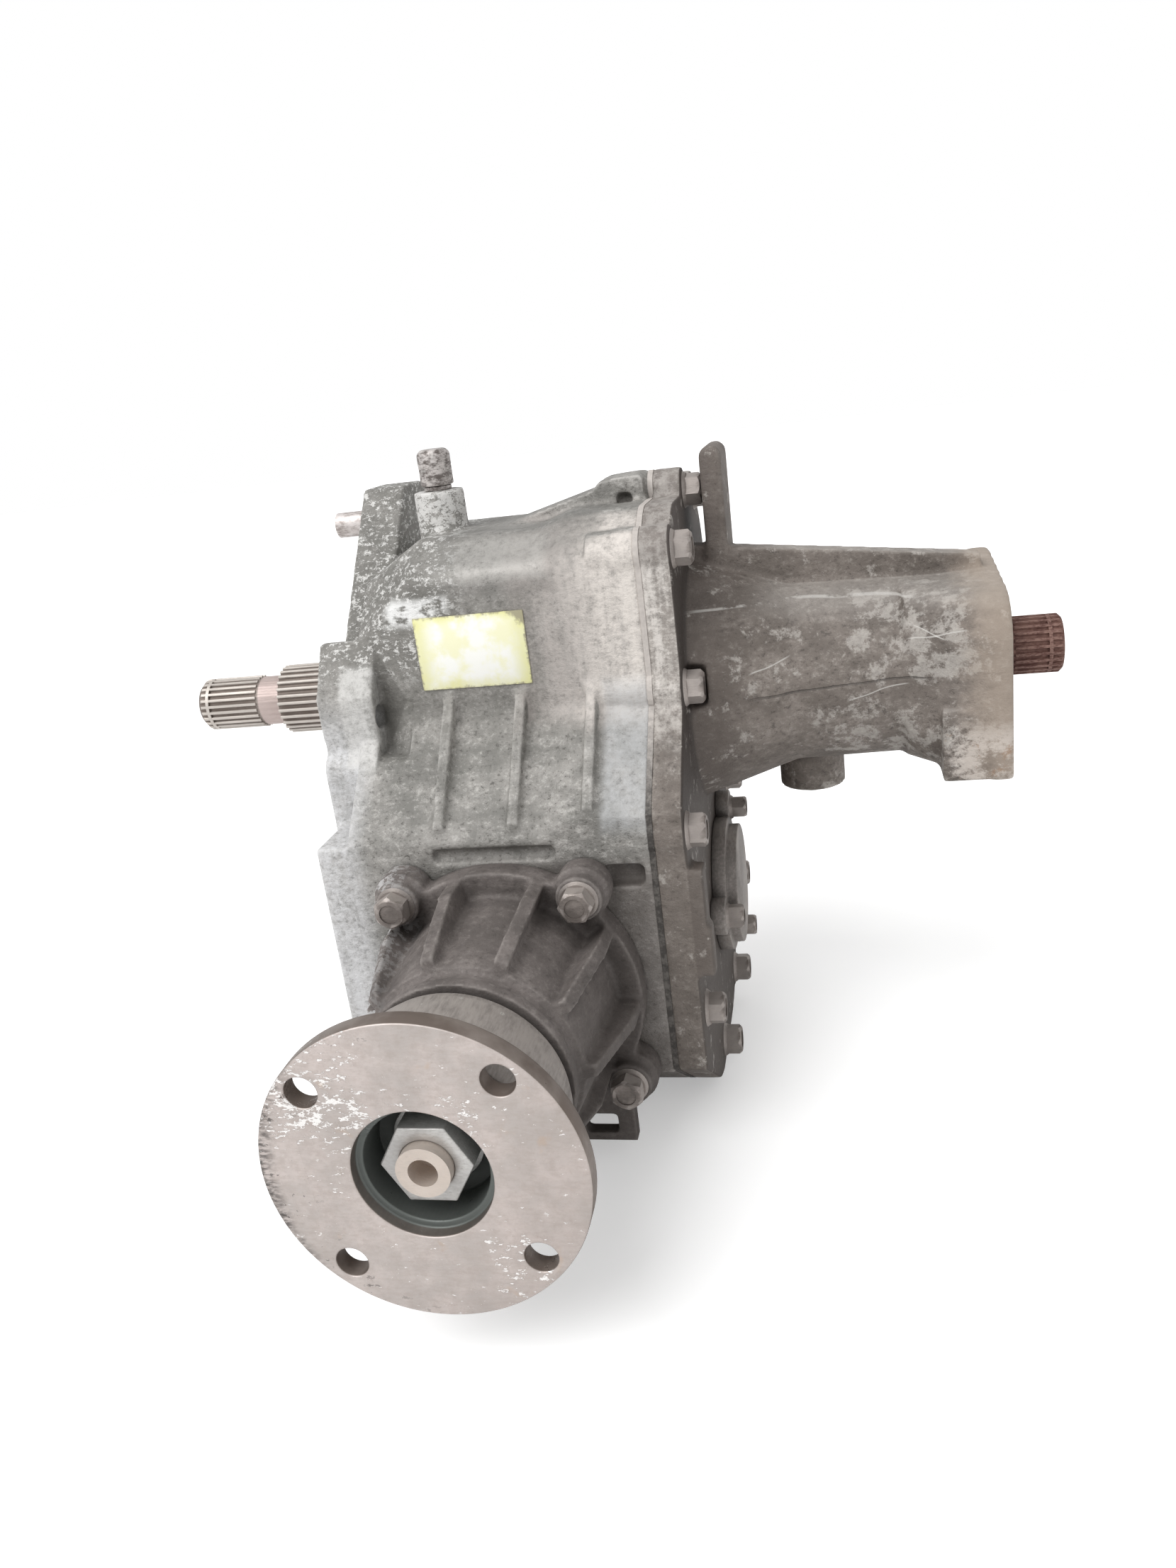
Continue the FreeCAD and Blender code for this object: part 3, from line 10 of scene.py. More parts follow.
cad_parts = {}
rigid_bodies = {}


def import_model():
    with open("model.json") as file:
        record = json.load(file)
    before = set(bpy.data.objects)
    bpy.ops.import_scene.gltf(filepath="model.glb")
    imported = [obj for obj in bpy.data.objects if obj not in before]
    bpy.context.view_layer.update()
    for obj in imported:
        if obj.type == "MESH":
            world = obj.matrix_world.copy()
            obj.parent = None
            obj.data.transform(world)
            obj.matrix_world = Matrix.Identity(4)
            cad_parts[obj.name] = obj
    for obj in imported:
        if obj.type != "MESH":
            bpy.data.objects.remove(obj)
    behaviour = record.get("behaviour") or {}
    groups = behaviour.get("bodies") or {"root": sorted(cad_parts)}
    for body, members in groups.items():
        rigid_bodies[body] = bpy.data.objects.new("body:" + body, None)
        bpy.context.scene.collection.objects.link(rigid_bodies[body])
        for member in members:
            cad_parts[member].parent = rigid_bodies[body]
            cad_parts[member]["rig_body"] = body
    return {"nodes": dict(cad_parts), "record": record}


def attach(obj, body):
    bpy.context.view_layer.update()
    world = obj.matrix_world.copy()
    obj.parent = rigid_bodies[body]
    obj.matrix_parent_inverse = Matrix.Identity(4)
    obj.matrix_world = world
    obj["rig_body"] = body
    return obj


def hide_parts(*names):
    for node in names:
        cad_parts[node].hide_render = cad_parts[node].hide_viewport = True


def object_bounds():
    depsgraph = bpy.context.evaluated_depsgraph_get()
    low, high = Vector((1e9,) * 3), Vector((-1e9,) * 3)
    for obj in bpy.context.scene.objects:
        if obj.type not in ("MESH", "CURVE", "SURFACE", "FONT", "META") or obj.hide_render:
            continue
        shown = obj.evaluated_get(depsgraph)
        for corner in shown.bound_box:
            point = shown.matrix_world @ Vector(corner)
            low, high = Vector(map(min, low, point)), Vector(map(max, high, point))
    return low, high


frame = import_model()
cad_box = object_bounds()
nodes = frame["nodes"]
MM = 0.001

# Lines that the pieces are set out from, in millimetres, as in the part's sheet.
OUTPUT_X = 85
LOW_Z = -113
COVER_START = 154
COVER_FACE = 168
GASKET = 0.5
HOUSING_FACE = -121.5
FLANGE_FACE = -235
FLANGE_BORE = 25.5
CAP_FLANGE = 7
PLATE_MIDDLE = (OUTPUT_X - 10, 30)

# Metallic share of a weathered casting.
CAST_METAL = 0.12


# ---------------------------------------------------------------- shader arithmetic
class Tone:
    """A shader socket that takes part in Python arithmetic."""

    def __init__(self, finish, socket):
        self.finish = finish
        self.socket = socket

    def reckon(self, operation, other=None, swapped=False):
        values = [self] if other is None else ([other, self] if swapped else [self, other])
        return self.finish.node("ShaderNodeMath", {"operation": operation}, values)

    def __add__(self, other):
        return self.reckon("ADD", other)

    def __radd__(self, other):
        return self.reckon("ADD", other)

    def __sub__(self, other):
        return self.reckon("SUBTRACT", other)

    def __rsub__(self, other):
        return self.reckon("SUBTRACT", other, True)

    def __mul__(self, other):
        return self.reckon("MULTIPLY", other)

    def __rmul__(self, other):
        return self.reckon("MULTIPLY", other)

    def __truediv__(self, other):
        return self.reckon("DIVIDE", other)

    def __neg__(self):
        return self.reckon("MULTIPLY", -1)

    def __abs__(self):
        return self.reckon("ABSOLUTE")

    def __or__(self, other):
        """The larger of two masks."""
        return self.reckon("MAXIMUM", other)

    def __and__(self, other):
        """The smaller of two masks."""
        return self.reckon("MINIMUM", other)


class Finish:
    """A procedural material: one node method, and the patterns the finishes share."""

    def __init__(self, name):
        self.material = bpy.data.materials.new(name)
        self.material.use_nodes = True
        self.tree = self.material.node_tree
        self.shader = self.tree.nodes["Principled BSDF"]
        self.place = self.node("ShaderNodeTexCoord", {}, [], "Object")
        split = self.node("ShaderNodeSeparateXYZ", {}, [self.place], "X")
        outputs = split.socket.node.outputs
        self.x, self.y, self.z = [Tone(self, outputs[axis]) for axis in "XYZ"]

    def node(self, kind, settings, values, output=0):
        """Adds a node; values are numbers, colours, vectors or Tones, by order or by socket name."""
        made = self.tree.nodes.new(kind)
        for key, setting in settings.items():
            setattr(made, key, setting)
        pairs = values.items() if isinstance(values, dict) else enumerate(values)
        for key, value in pairs:
            self.feed(made.inputs[key], value)
        return Tone(self, made.outputs[output])

    def feed(self, socket, value):
        if isinstance(value, Tone):
            self.tree.links.new(value.socket, socket)
        elif isinstance(value, (tuple, list)) and socket.type == "RGBA":
            socket.default_value = (*value, 1)[:4]
        else:
            socket.default_value = value

    def spaced(self, size, stretch, offset):
        """Object coordinates moved by an offset, one unit to so many millimetres."""
        return self.node("ShaderNodeMapping", {}, {
            "Vector": self.place, "Location": offset, "Scale": [1000 / size / share for share in stretch]})

    def noise(self, size, detail=3, rough=0.55, stretch=(1, 1, 1), seed=0):
        """Noise from 0 to 1 whose lumps are about so many millimetres across."""
        return self.node("ShaderNodeTexNoise", {}, {
            "Vector": self.spaced(size, stretch, (seed, seed * 0.7, -seed)),
            "Scale": 1, "Detail": detail, "Roughness": rough})

    def drops(self, size, seed):
        """Distance to the middle of the nearest of many scattered drops."""
        place = self.spaced(size, (1, 1, 1), (seed, -seed, seed * 0.3))
        return self.node("ShaderNodeTexVoronoi", {"feature": "F1"}, {"Vector": place, "Scale": 1}, "Distance")

    def streaks(self):
        """Upright streaks that the case and the cover share."""
        return self.noise(5, 3, 0.6, (1, 1, 9), seed=7)

    def step(self, value, low, high):
        """0 below low, 1 above high, eased between; low may be above high."""
        return self.node("ShaderNodeMapRange", {"interpolation_type": "SMOOTHSTEP"},
                         {"Value": value, "From Min": low, "From Max": high, "To Min": 0, "To Max": 1})

    def within(self, value, low, high, soft):
        """1 between two stations in millimetres, fading over a soft edge."""
        return (self.step(value, (low - soft) * MM, low * MM)
                & self.step(value, (high + soft) * MM, high * MM))

    def blend(self, factor, first, second):
        """A colour that goes from the first to the second as the factor goes from 0 to 1."""
        first_input, second_input, color_output = 6, 7, 2
        return self.node("ShaderNodeMix", {"data_type": "RGBA", "blend_type": "MIX"},
                         {0: factor, first_input: first, second_input: second}, color_output)

    def facing(self, axis):
        """How far the surface faces along "X", "Y" or "Z" of the piece, from -1 to 1."""
        normal = self.node("ShaderNodeTexCoord", {}, [], "Normal")
        return self.node("ShaderNodeSeparateXYZ", {}, [normal], axis)

    def ridge(self):
        """Worn edges above one half, hollows below it."""
        return self.node("ShaderNodeNewGeometry", {}, [], "Pointiness")

    def shut_in(self, reach):
        """1 in deep corners, 0 in the open."""
        seen = self.node("ShaderNodeAmbientOcclusion", {"samples": 6, "only_local": False},
                         {"Distance": reach * MM}, "AO")
        return 1 - seen

    def close(self, color, roughness, metallic, height=None, depth=0.3):
        """Feeds the shader; height is raised by so many millimetres where it is 1."""
        self.feed(self.shader.inputs["Base Color"], color)
        self.feed(self.shader.inputs["Roughness"], roughness)
        self.feed(self.shader.inputs["Metallic"], metallic)
        if height is not None:
            bump = self.node("ShaderNodeBump", {}, {"Strength": 1, "Distance": depth * MM, "Height": height})
            self.feed(self.shader.inputs["Normal"], bump)
        return self.material


# ---------------------------------------------------------------- finishes
def sand_skin(f, dark, middle, light, grime_and_shade, wear, pits=0.5, salt=0.5):
    """Weathered sand casting: blotches, salt and pepper, pits, painted shade in corners and hollows, and
    bright worn edges.

    Gives its colour, roughness and height, and the patches and specks that they are made of.
    """
    blotch = f.noise(38, 4, 0.6, (1.3, 1.3, 1))
    patch = f.noise(11, 5, 0.65, (1.6, 1.6, 1), seed=4)
    speck = f.noise(2.6, 4, 0.85, (1.3, 1.3, 1), seed=9)
    grit = f.noise(1.2, 2, 0.6, (1.5, 1.5, 1), seed=2)
    color = f.blend(f.step(blotch * 0.5 + patch * 0.5, 0.38, 0.62), dark, middle)
    color = f.blend(f.step(speck * 0.75 + patch * 0.25, 0.50, 0.66) * salt, color, light)
    color = f.blend(f.step(speck * 0.8 + grit * 0.2, 0.47, 0.35) * pits, color, grime_and_shade)
    # painted shade: corners found by occlusion and hollows found by pointiness are darkened
    corners = f.step(f.shut_in(16), 0.25, 0.85)
    color = f.blend((corners | f.step(f.ridge(), 0.47, 0.40)) * 0.75, color, grime_and_shade)
    edge = f.step(f.ridge() + patch * 0.06, 0.545, 0.60)
    color = f.blend(edge * wear, color, light)
    height = speck * 0.9 + grit * 0.35 + patch * 0.8
    rough = 0.56 + speck * 0.2
    return color, rough, height, patch, speck


def case_finish():
    f = Finish("weathered case casting")
    dark, middle, light = (0.20, 0.195, 0.18), (0.36, 0.345, 0.325), (0.66, 0.64, 0.61)
    grime_and_shade = (0.075, 0.07, 0.062)
    color, rough, height, patch, speck = sand_skin(
        f, dark, middle, light, grime_and_shade, wear=0.6, pits=0.75, salt=0.55)
    forward = -f.facing("Y")
    front = f.step(forward, 0.55, 0.9)
    streak = f.streaks()
    grain = f.step(speck * 0.6 + streak * 0.4, 0.34, 0.62)
    # broad worn panel, paler towards the cover joint, with upright streaks
    panel = f.within(f.x, 100, 170, 12) & f.within(f.z, 2, 76, 10) & f.step(forward, 0.2, 0.6)
    pale = f.step(f.x + streak * 16 * MM + patch * 10 * MM, 128 * MM, 156 * MM)
    color = f.blend(panel * (0.35 + grain * 0.5), color, (0.47, 0.43, 0.405))
    color = f.blend(panel * pale * (0.2 + grain * 0.7), color, (0.76, 0.71, 0.66))
    # dark wet grime round the plate, a painted highlight along the brow of the top edge, and painted shade in
    # the roll under it
    wet = f.within(f.x, 22, 98, 14) & f.within(f.z, -2, 50, 9) & front
    color = f.blend(wet * (0.72 - grain * 0.35), color, (0.15, 0.145, 0.13))
    painted_brow_highlight = f.within(f.x, 62, 108, 8) & f.within(f.z, 62, 74, 4)
    color = f.blend(painted_brow_highlight * (0.3 + grain * 0.5), color, (0.58, 0.56, 0.53))
    painted_roll_shade = f.within(f.z, 56, 61, 4) & f.within(f.x, 40, 112, 8) & f.step(forward, 0.1, 0.4)
    color = f.blend(painted_roll_shade * 0.3, color, grime_and_shade)
    # bright flecks on the upper left, and the scuff above the plate
    boss = f.within(f.x, 38, 66, 3) & f.step(f.z, 74 * MM, 84 * MM)
    chips = f.noise(2.4, 4, 0.85, (1.6, 1.6, 1), seed=12)
    fleck = f.step(chips + boss * 0.09, 0.52, 0.60)
    upper_left = f.within(f.x, -2, 62, 16) & f.within(f.z, 30, 104, 16)
    color = f.blend(upper_left * (1 - boss) * 0.55, color, (0.17, 0.165, 0.15))
    color = f.blend((fleck & upper_left) * 0.75, color, (0.80, 0.79, 0.77))
    scuff = f.within(f.x, 40, 62, 7) & f.within(f.z, 46, 52, 5) & front
    color = f.blend(scuff * f.step(patch, 0.42, 0.52) * 0.9, color, (0.90, 0.90, 0.89))
    # mounting flange washed pale, more so further down
    left = f.step(f.x, 30 * MM, 14 * MM) & f.step(f.z, 20 * MM, -14 * MM)
    color = f.blend(left * (0.3 + 0.6 * grain), color, (0.72, 0.72, 0.73))
    # painted shade in the hollow behind the front ear, and a painted highlight on the lit edge of the ear
    outer = f.step(f.y, -50 * MM, -53 * MM)
    lens = abs(f.z - 10 * MM) + (f.x - 27 * MM) * 1.9
    painted_hollow_shade = outer * f.step(lens, 27 * MM, 24 * MM) * f.step(f.x, 26.4 * MM, 27.4 * MM)
    color = f.blend(painted_hollow_shade * (0.85 - speck * 0.5), color, (0.10, 0.095, 0.085))
    painted_ear_highlight = f.within(f.x, 12, 26, 2) & f.within(f.z, -14, 36, 6) & f.step(f.y, -57 * MM, -60 * MM)
    color = f.blend(painted_ear_highlight * (0.25 + 0.6 * grain), color, (0.66, 0.65, 0.63))
    # blue-grey worn strip near the joint on the slope, warm brown at the lower right, and painted shade on
    # the upward-facing top
    strip = f.within(f.x, 136, 152, 5) & f.within(f.z, -36, 8, 10)
    color = f.blend(strip * (0.35 + grain * 0.4), color, (0.47, 0.475, 0.48))
    warm = f.step(f.z, -50 * MM, -62 * MM) & f.step(f.x, 60 * MM, 120 * MM)
    color = f.blend(warm * 0.6, color, (0.12, 0.10, 0.09))
    # painted shade on the upward-facing top
    top = f.step(f.facing("Z"), 0.5, 0.9) & f.within(f.x, 66, 132, 10) & f.step(f.z, 60 * MM, 70 * MM)
    color = f.blend(top * 0.4, color, (0.16, 0.155, 0.145))
    return f.close(color, rough, CAST_METAL, height, 0.55)


def housing_finish():
    f = Finish("pinion housing casting")
    dark, middle, light = (0.115, 0.10, 0.093), (0.185, 0.162, 0.152), (0.34, 0.31, 0.29)
    grime_and_shade = (0.045, 0.038, 0.034)
    color, rough, height, *_ = sand_skin(f, dark, middle, light, grime_and_shade, wear=0.55, pits=0.45, salt=0.35)
    # painted shade on the lower right, a white wash on the left
    below = f.step(f.z - f.x * 0.6, -150 * MM, -195 * MM)
    color = f.blend(below * 0.5, color, (0.048, 0.040, 0.035))
    left = f.step(f.x, 58 * MM, 26 * MM)
    wash = f.step(f.noise(4, 4, 0.7, seed=5), 0.46, 0.58)
    color = f.blend(left * wash * 0.8, color, (0.66, 0.66, 0.66))
    return f.close(color, rough + 0.05, CAST_METAL, height, 0.3)


def cover_finish():
    f = Finish("side cover casting")
    dark, middle, light = (0.13, 0.11, 0.095), (0.22, 0.19, 0.168), (0.42, 0.39, 0.355)
    grime_and_shade = (0.045, 0.037, 0.032)
    color, rough, height, patch, speck = sand_skin(
        f, dark, middle, light, grime_and_shade, wear=0.4, pits=0.6, salt=0.45)
    side = f.step(f.facing("X"), 0.3, 0.7)
    edge = f.step(f.x, COVER_FACE * MM, (COVER_FACE - 1) * MM)
    # edge of the joint: pale above like the case beside it, brown film below
    streak = f.streaks()
    high = f.step(f.z + streak * 20 * MM, -20 * MM, 30 * MM)
    grain = f.step(speck * 0.5 + streak * 0.5, 0.40, 0.60)
    rim = edge * (1 - side)
    color = f.blend(rim * high * (0.25 + grain * 0.6), color, (0.74, 0.70, 0.66))
    # oil film that thins out along the tube and is thickest on the upright lug, and painted shade on the face
    # beside the rim, which faces away from the key light
    joint = f.step(f.x, 206 * MM, 170 * MM) * (1 - rim)
    color = f.blend(joint * 0.65, color, (0.105, 0.085, 0.074))
    # painted shade on the outer face beside the rim
    color = f.blend(side * f.step(f.x, 178 * MM, 171 * MM) * 0.85, color, (0.038, 0.030, 0.026))
    hook = f.step(f.z, 58 * MM, 68 * MM) & f.step(f.x, 184 * MM, 178 * MM)
    color = f.blend(hook * 0.5, color, (0.12, 0.10, 0.09))
    # painted shade on the lower part of the cover beside the joint
    shade = f.step(f.z, -30 * MM, -60 * MM) & f.step(f.x, 215 * MM, 180 * MM)
    color = f.blend(shade * 0.35, color, (0.14, 0.12, 0.105))
    # pale rubbed patches, gathered towards the end of the tube, and a dusty top
    upper = f.within(f.x, 246, 284, 10) & f.within(f.z, 2, 30, 8)
    lower = f.within(f.x, 230, 278, 12) & f.within(f.z, -34, -14, 8)
    outward = f.step(f.x, 225 * MM, 285 * MM)
    wear = f.noise(12, 6, 0.75, seed=15) + upper * 0.09 + lower * 0.08 + outward * 0.02
    rubbed = f.step(wear, 0.57, 0.66)
    color = f.blend(rubbed * (0.15 + speck * 0.8), color, (0.52, 0.49, 0.455))
    above = f.step(f.facing("Z"), 0.6, 0.9) & f.step(f.x, 190 * MM, 215 * MM)
    color = f.blend(above * (0.15 + speck * 0.5), color, (0.46, 0.43, 0.40))
    # tan stain at the end, and the block under it rubbed pale with rust spots
    end = f.step(f.x + patch * 26 * MM, 292 * MM, 312 * MM)
    color = f.blend(end * 0.6, color, (0.42, 0.345, 0.28))
    base = f.step(f.z, -16 * MM, -30 * MM) & f.step(f.x, 274 * MM, 282 * MM)
    color = f.blend(base * f.step(patch * 0.6 + speck * 0.4, 0.44, 0.56) * 0.6, color, (0.66, 0.60, 0.55))
    color = f.blend(base * f.step(f.noise(9, 4, 0.7, seed=22), 0.56, 0.66) * 0.7, color, (0.30, 0.19, 0.12))
    # fine bright scratches, and a cast line along the side
    bend = f.noise(60, 2, 0.5, seed=21)
    front = f.step(-f.facing("Y"), 0.0, 0.3)
    scratches = 0
    for rise, height_at, start, stop in (
            (0.30, 8, 198, 210), (0.18, -9, 240, 260), (-0.42, 20, 268, 276), (0.24, 15, 266, 284)):
        line = abs(f.z - height_at * MM - (f.x - start * MM) * rise + (bend - 0.5) * 20 * MM)
        mark = f.step(line, 0.45 * MM, 0.12 * MM) & f.within(f.x, start, stop, 4)
        scratches = mark + scratches
    slope = (f.x - 240 * MM) * 0.03
    crest = f.step(abs(f.z - 33 * MM + slope + (bend - 0.5) * 4 * MM), 0.7 * MM, 0.2 * MM)
    crest = crest & f.within(f.x, 176, 262, 8) & f.step(patch, 0.42, 0.52)
    color = f.blend((scratches | crest) * front * 0.6, color, (0.62, 0.60, 0.57))
    seam = f.step(abs(f.z + 2 * MM + (bend - 0.5) * 8 * MM - slope), 0.6 * MM, 0.2 * MM)
    seam = seam & f.within(f.x, 200, 268, 8)
    color = f.blend(seam * front * 0.6, color, (0.08, 0.07, 0.062))
    return f.close(color, rough, CAST_METAL, height - seam * front * 1.2, 0.5)


def turned_steel(name, base, pale, stain, film=0.5, size=1.0):
    """Machined steel with a thin film: clouds, fine marks and stains, and painted shade where it is shut in.
    """
    f = Finish(name)
    cloud = f.noise(26 * size, 4, 0.6, seed=3)
    fine = f.noise(1.4 * size, 3, 0.65, (3, 1, 1), seed=8)
    spots = f.step(f.noise(3.2 * size, 3, 0.7, seed=14), 0.60, 0.72)
    color = f.blend(f.step(cloud, 0.35, 0.68), base, pale)
    color = f.blend(f.step(fine, 0.4, 0.7) * 0.25, color, stain)
    color = f.blend(spots * film, color, stain)
    # painted shade in shut-in corners, from occlusion
    color = f.blend(f.step(f.shut_in(7), 0.3, 0.9) * 0.6, color, [c * 0.35 for c in stain])
    return f, color, cloud, fine


def flange_finish():
    f, color, cloud, fine = turned_steel(
        "companion flange steel", (0.50, 0.455, 0.43), (0.63, 0.56, 0.53), (0.40, 0.33, 0.29), film=0.25)
    face = f.step(FLANGE_FACE * MM - f.y, 0, 0.4 * MM)
    across = f.x - OUTPUT_X * MM
    up = f.z - LOW_Z * MM
    radius = (across * across + up * up).reckon("SQRT")
    # rim and back stay brown, the bore is dark with a grey-green step
    side = f.blend(f.step(cloud, 0.4, 0.65), (0.17, 0.135, 0.115), (0.28, 0.24, 0.215))
    color = f.blend(face, side, color)
    bore = f.step(radius, (FLANGE_BORE + 0.4) * MM, (FLANGE_BORE - 0.1) * MM)
    color = f.blend(bore * (1 - face), color, (0.05, 0.054, 0.050))
    ledge = f.step(abs(radius - 24.3 * MM), 1.6 * MM, 1.2 * MM)
    color = f.blend(bore * ledge * 0.7, color, (0.16, 0.175, 0.165))
    # grime eats in from the lower left edge
    reach = radius - across * 0.35 + f.noise(9, 5, 0.7, seed=6) * 12 * MM
    dirt = f.step(reach, 77 * MM, 86 * MM) & f.step(across, 10 * MM, -30 * MM)
    color = f.blend(dirt * f.step(fine, 0.35, 0.6) * face, color, (0.10, 0.09, 0.085))
    # mottling, darker towards the right
    mottle = f.noise(5, 5, 0.8, seed=23)
    color = f.blend(f.step(mottle, 0.45, 0.62) * face * 0.3, color, (0.42, 0.36, 0.33))
    color = f.blend(f.step(across - up * 0.4, 0, 60 * MM) * face * 0.18, color, (0.36, 0.30, 0.27))
    # wet glints with dark outlines, gathered in three places
    cluster = 0
    for sideways, upwards, thick in (
            ((-62, -20, 8), (22, 52, 8), 0.09),
            ((-48, 22, 8), (12, 34, 6), 0.07),
            ((22, 40, 6), (-52, -26, 6), 0.09)):
        cluster = (f.within(across, *sideways) & f.within(up, *upwards)) * thick + cluster
    wet = f.noise(2.4, 3, 0.75, (1.7, 1, 0.8), seed=18)
    glint = f.step(wet + cluster + f.noise(16, 2, 0.5, seed=5) * 0.06, 0.70, 0.74)
    outline = f.step(wet + cluster, 0.64, 0.67) * f.step(cluster, 0.03, 0.06)
    color = f.blend(outline * face * 0.35, color, (0.30, 0.26, 0.24))
    color = f.blend(glint * face * 0.9, color, (0.95, 0.93, 0.91))
    # dark nicks round the upper left hole and towards the rim
    near_hole = f.step(abs(up - 26 * MM), 12 * MM, 2 * MM) * f.step(across, -46 * MM, -60 * MM)
    nicks = f.noise(3.4, 4, 0.75, (1.8, 1, 1), seed=27) + near_hole * 0.16
    nick = f.step(nicks, 0.62, 0.67) & f.step(radius - across * 0.4, 50 * MM, 74 * MM)
    color = f.blend(nick * face * 0.8, color, (0.08, 0.07, 0.065))
    rust = f.step(f.noise(15, 3, 0.6, seed=31), 0.62, 0.72)
    color = f.blend(rust * face * 0.45, color, (0.52, 0.38, 0.28))
    height = fine * 0.3 + cloud * 0.4 - glint * 0.5
    return f.close(color, 0.42 - glint * 0.25 + fine * 0.15, 0.55, height, 0.12)


def nut_finish():
    f, color, _, fine = turned_steel(
        "bright nut steel", (0.47, 0.46, 0.45), (0.66, 0.65, 0.63), (0.27, 0.24, 0.22), film=0.35, size=0.5)
    return f.close(color, 0.36 + fine * 0.2, 0.65, fine, 0.08)


def bolt_finish():
    f, color, cloud, fine = turned_steel(
        "filmed bolt steel", (0.17, 0.148, 0.135), (0.34, 0.30, 0.275), (0.09, 0.07, 0.06), size=0.45)
    edge = f.step(f.ridge(), 0.53, 0.62)
    color = f.blend(edge * 0.5, color, (0.55, 0.50, 0.47))
    return f.close(color, 0.45 + fine * 0.2, 0.5, fine + cloud, 0.12)


def shaft_finish():
    """Ground shafts and their splines: dark grooves, pale crests, a pinkish neck, a rusty right end."""
    f, color, cloud, fine = turned_steel(
        "worn spline steel", (0.30, 0.27, 0.245), (0.47, 0.43, 0.40), (0.20, 0.14, 0.11), film=0.45, size=0.5)
    radius = (f.y * f.y + f.z * f.z).reckon("SQRT")
    inner_spline = f.step(f.x, -57 * MM, -58 * MM)
    outer_spline = f.within(f.x, -45, -6, 1)
    inner_crest = f.step(radius, 12.4 * MM, 13.2 * MM) & inner_spline
    outer_crest = f.step(radius, 16.6 * MM, 17.4 * MM) & f.step(f.x, -5 * MM, -6 * MM)
    color = f.blend((inner_crest | outer_crest) * (0.55 + fine * 0.4), color, (0.68, 0.63, 0.58))
    inner_groove = f.step(radius, 12.9 * MM, 12.3 * MM) & f.step(f.x, -57.5 * MM, -58 * MM)
    outer_groove = f.step(radius, 17.2 * MM, 16.3 * MM) & outer_spline & f.step(radius, 15.9 * MM, 16.0 * MM)
    color = f.blend((inner_groove | outer_groove) * 0.65, color, (0.13, 0.095, 0.075))
    neck = f.within(f.x, -57.5, -45.5, 1) & f.step(radius, 13.4 * MM, 12.6 * MM)
    color = f.blend(neck * 0.7, color, (0.62, 0.50, 0.47))
    # cream tip of the pinion shaft
    tip = f.step(-f.y, 200 * MM, 204 * MM)
    color = f.blend(tip * (0.4 + fine * 0.4), color, (0.80, 0.70, 0.62))
    right = f.step(f.x, 300 * MM, 308 * MM)
    rust = f.blend(f.step(fine * 0.5 + cloud * 0.5, 0.4, 0.6), (0.105, 0.045, 0.036), (0.21, 0.115, 0.092))
    color = f.blend(right, color, rust)
    crest = right * f.step(radius, 12.9 * MM, 13.3 * MM) * f.step(fine, 0.4, 0.6)
    color = f.blend(crest * 0.5, color, (0.34, 0.22, 0.185))
    return f.close(color, 0.45 + right * 0.15 + fine * 0.12, 0.6 - right * 0.3, fine + cloud * 0.5, 0.15)


def damper_finish():
    f = Finish("damper drum iron")
    cloud = f.noise(30, 4, 0.6)
    fine = f.noise(1.2, 3, 0.65, (1, 5, 1), seed=8)
    color = f.blend(f.step(cloud * 0.6 + fine * 0.4, 0.35, 0.65), (0.19, 0.17, 0.158), (0.38, 0.345, 0.32))
    beads = f.step(f.drops(7, seed=9), 0.15, 0.10) & f.step(f.noise(18, 2, 0.5, seed=18), 0.50, 0.58)
    top = f.step(f.facing("Z"), 0.4, 0.8)
    color = f.blend(beads * top * 0.6, color, (0.55, 0.53, 0.50))
    # painted shade where the drum is shut in, from occlusion
    color = f.blend(f.step(f.shut_in(10), 0.2, 0.8) * 0.8, color, (0.03, 0.028, 0.026))
    return f.close(color, 0.5 + fine * 0.15 - beads * top * 0.3, 0.3, fine, 0.06)


def cap_finish():
    """Plated cap, flecked where the plating has gone."""
    f = Finish("flecked cap steel")
    fleck = f.noise(2.0, 4, 0.75, (2.2, 2.2, 1), seed=4)
    patch = f.noise(7, 3, 0.6, seed=11)
    color = f.blend(f.step(fleck, 0.38, 0.62), (0.14, 0.12, 0.11), (0.60, 0.56, 0.54))
    color = f.blend(f.step(patch, 0.55, 0.7) * 0.5, color, (0.80, 0.78, 0.75))
    return f.close(color, 0.4 + fleck * 0.2, 0.45, fleck, 0.25)


def dowel_finish():
    f = Finish("dowel steel")
    fleck = f.noise(1.8, 4, 0.75, (2.5, 1, 1), seed=2)
    patch = f.noise(8, 3, 0.6, seed=19)
    color = f.blend(f.step(fleck * 0.6 + patch * 0.4, 0.36, 0.62), (0.34, 0.29, 0.27), (0.78, 0.73, 0.71))
    return f.close(color, 0.38 + fleck * 0.2, 0.5, fleck, 0.12)


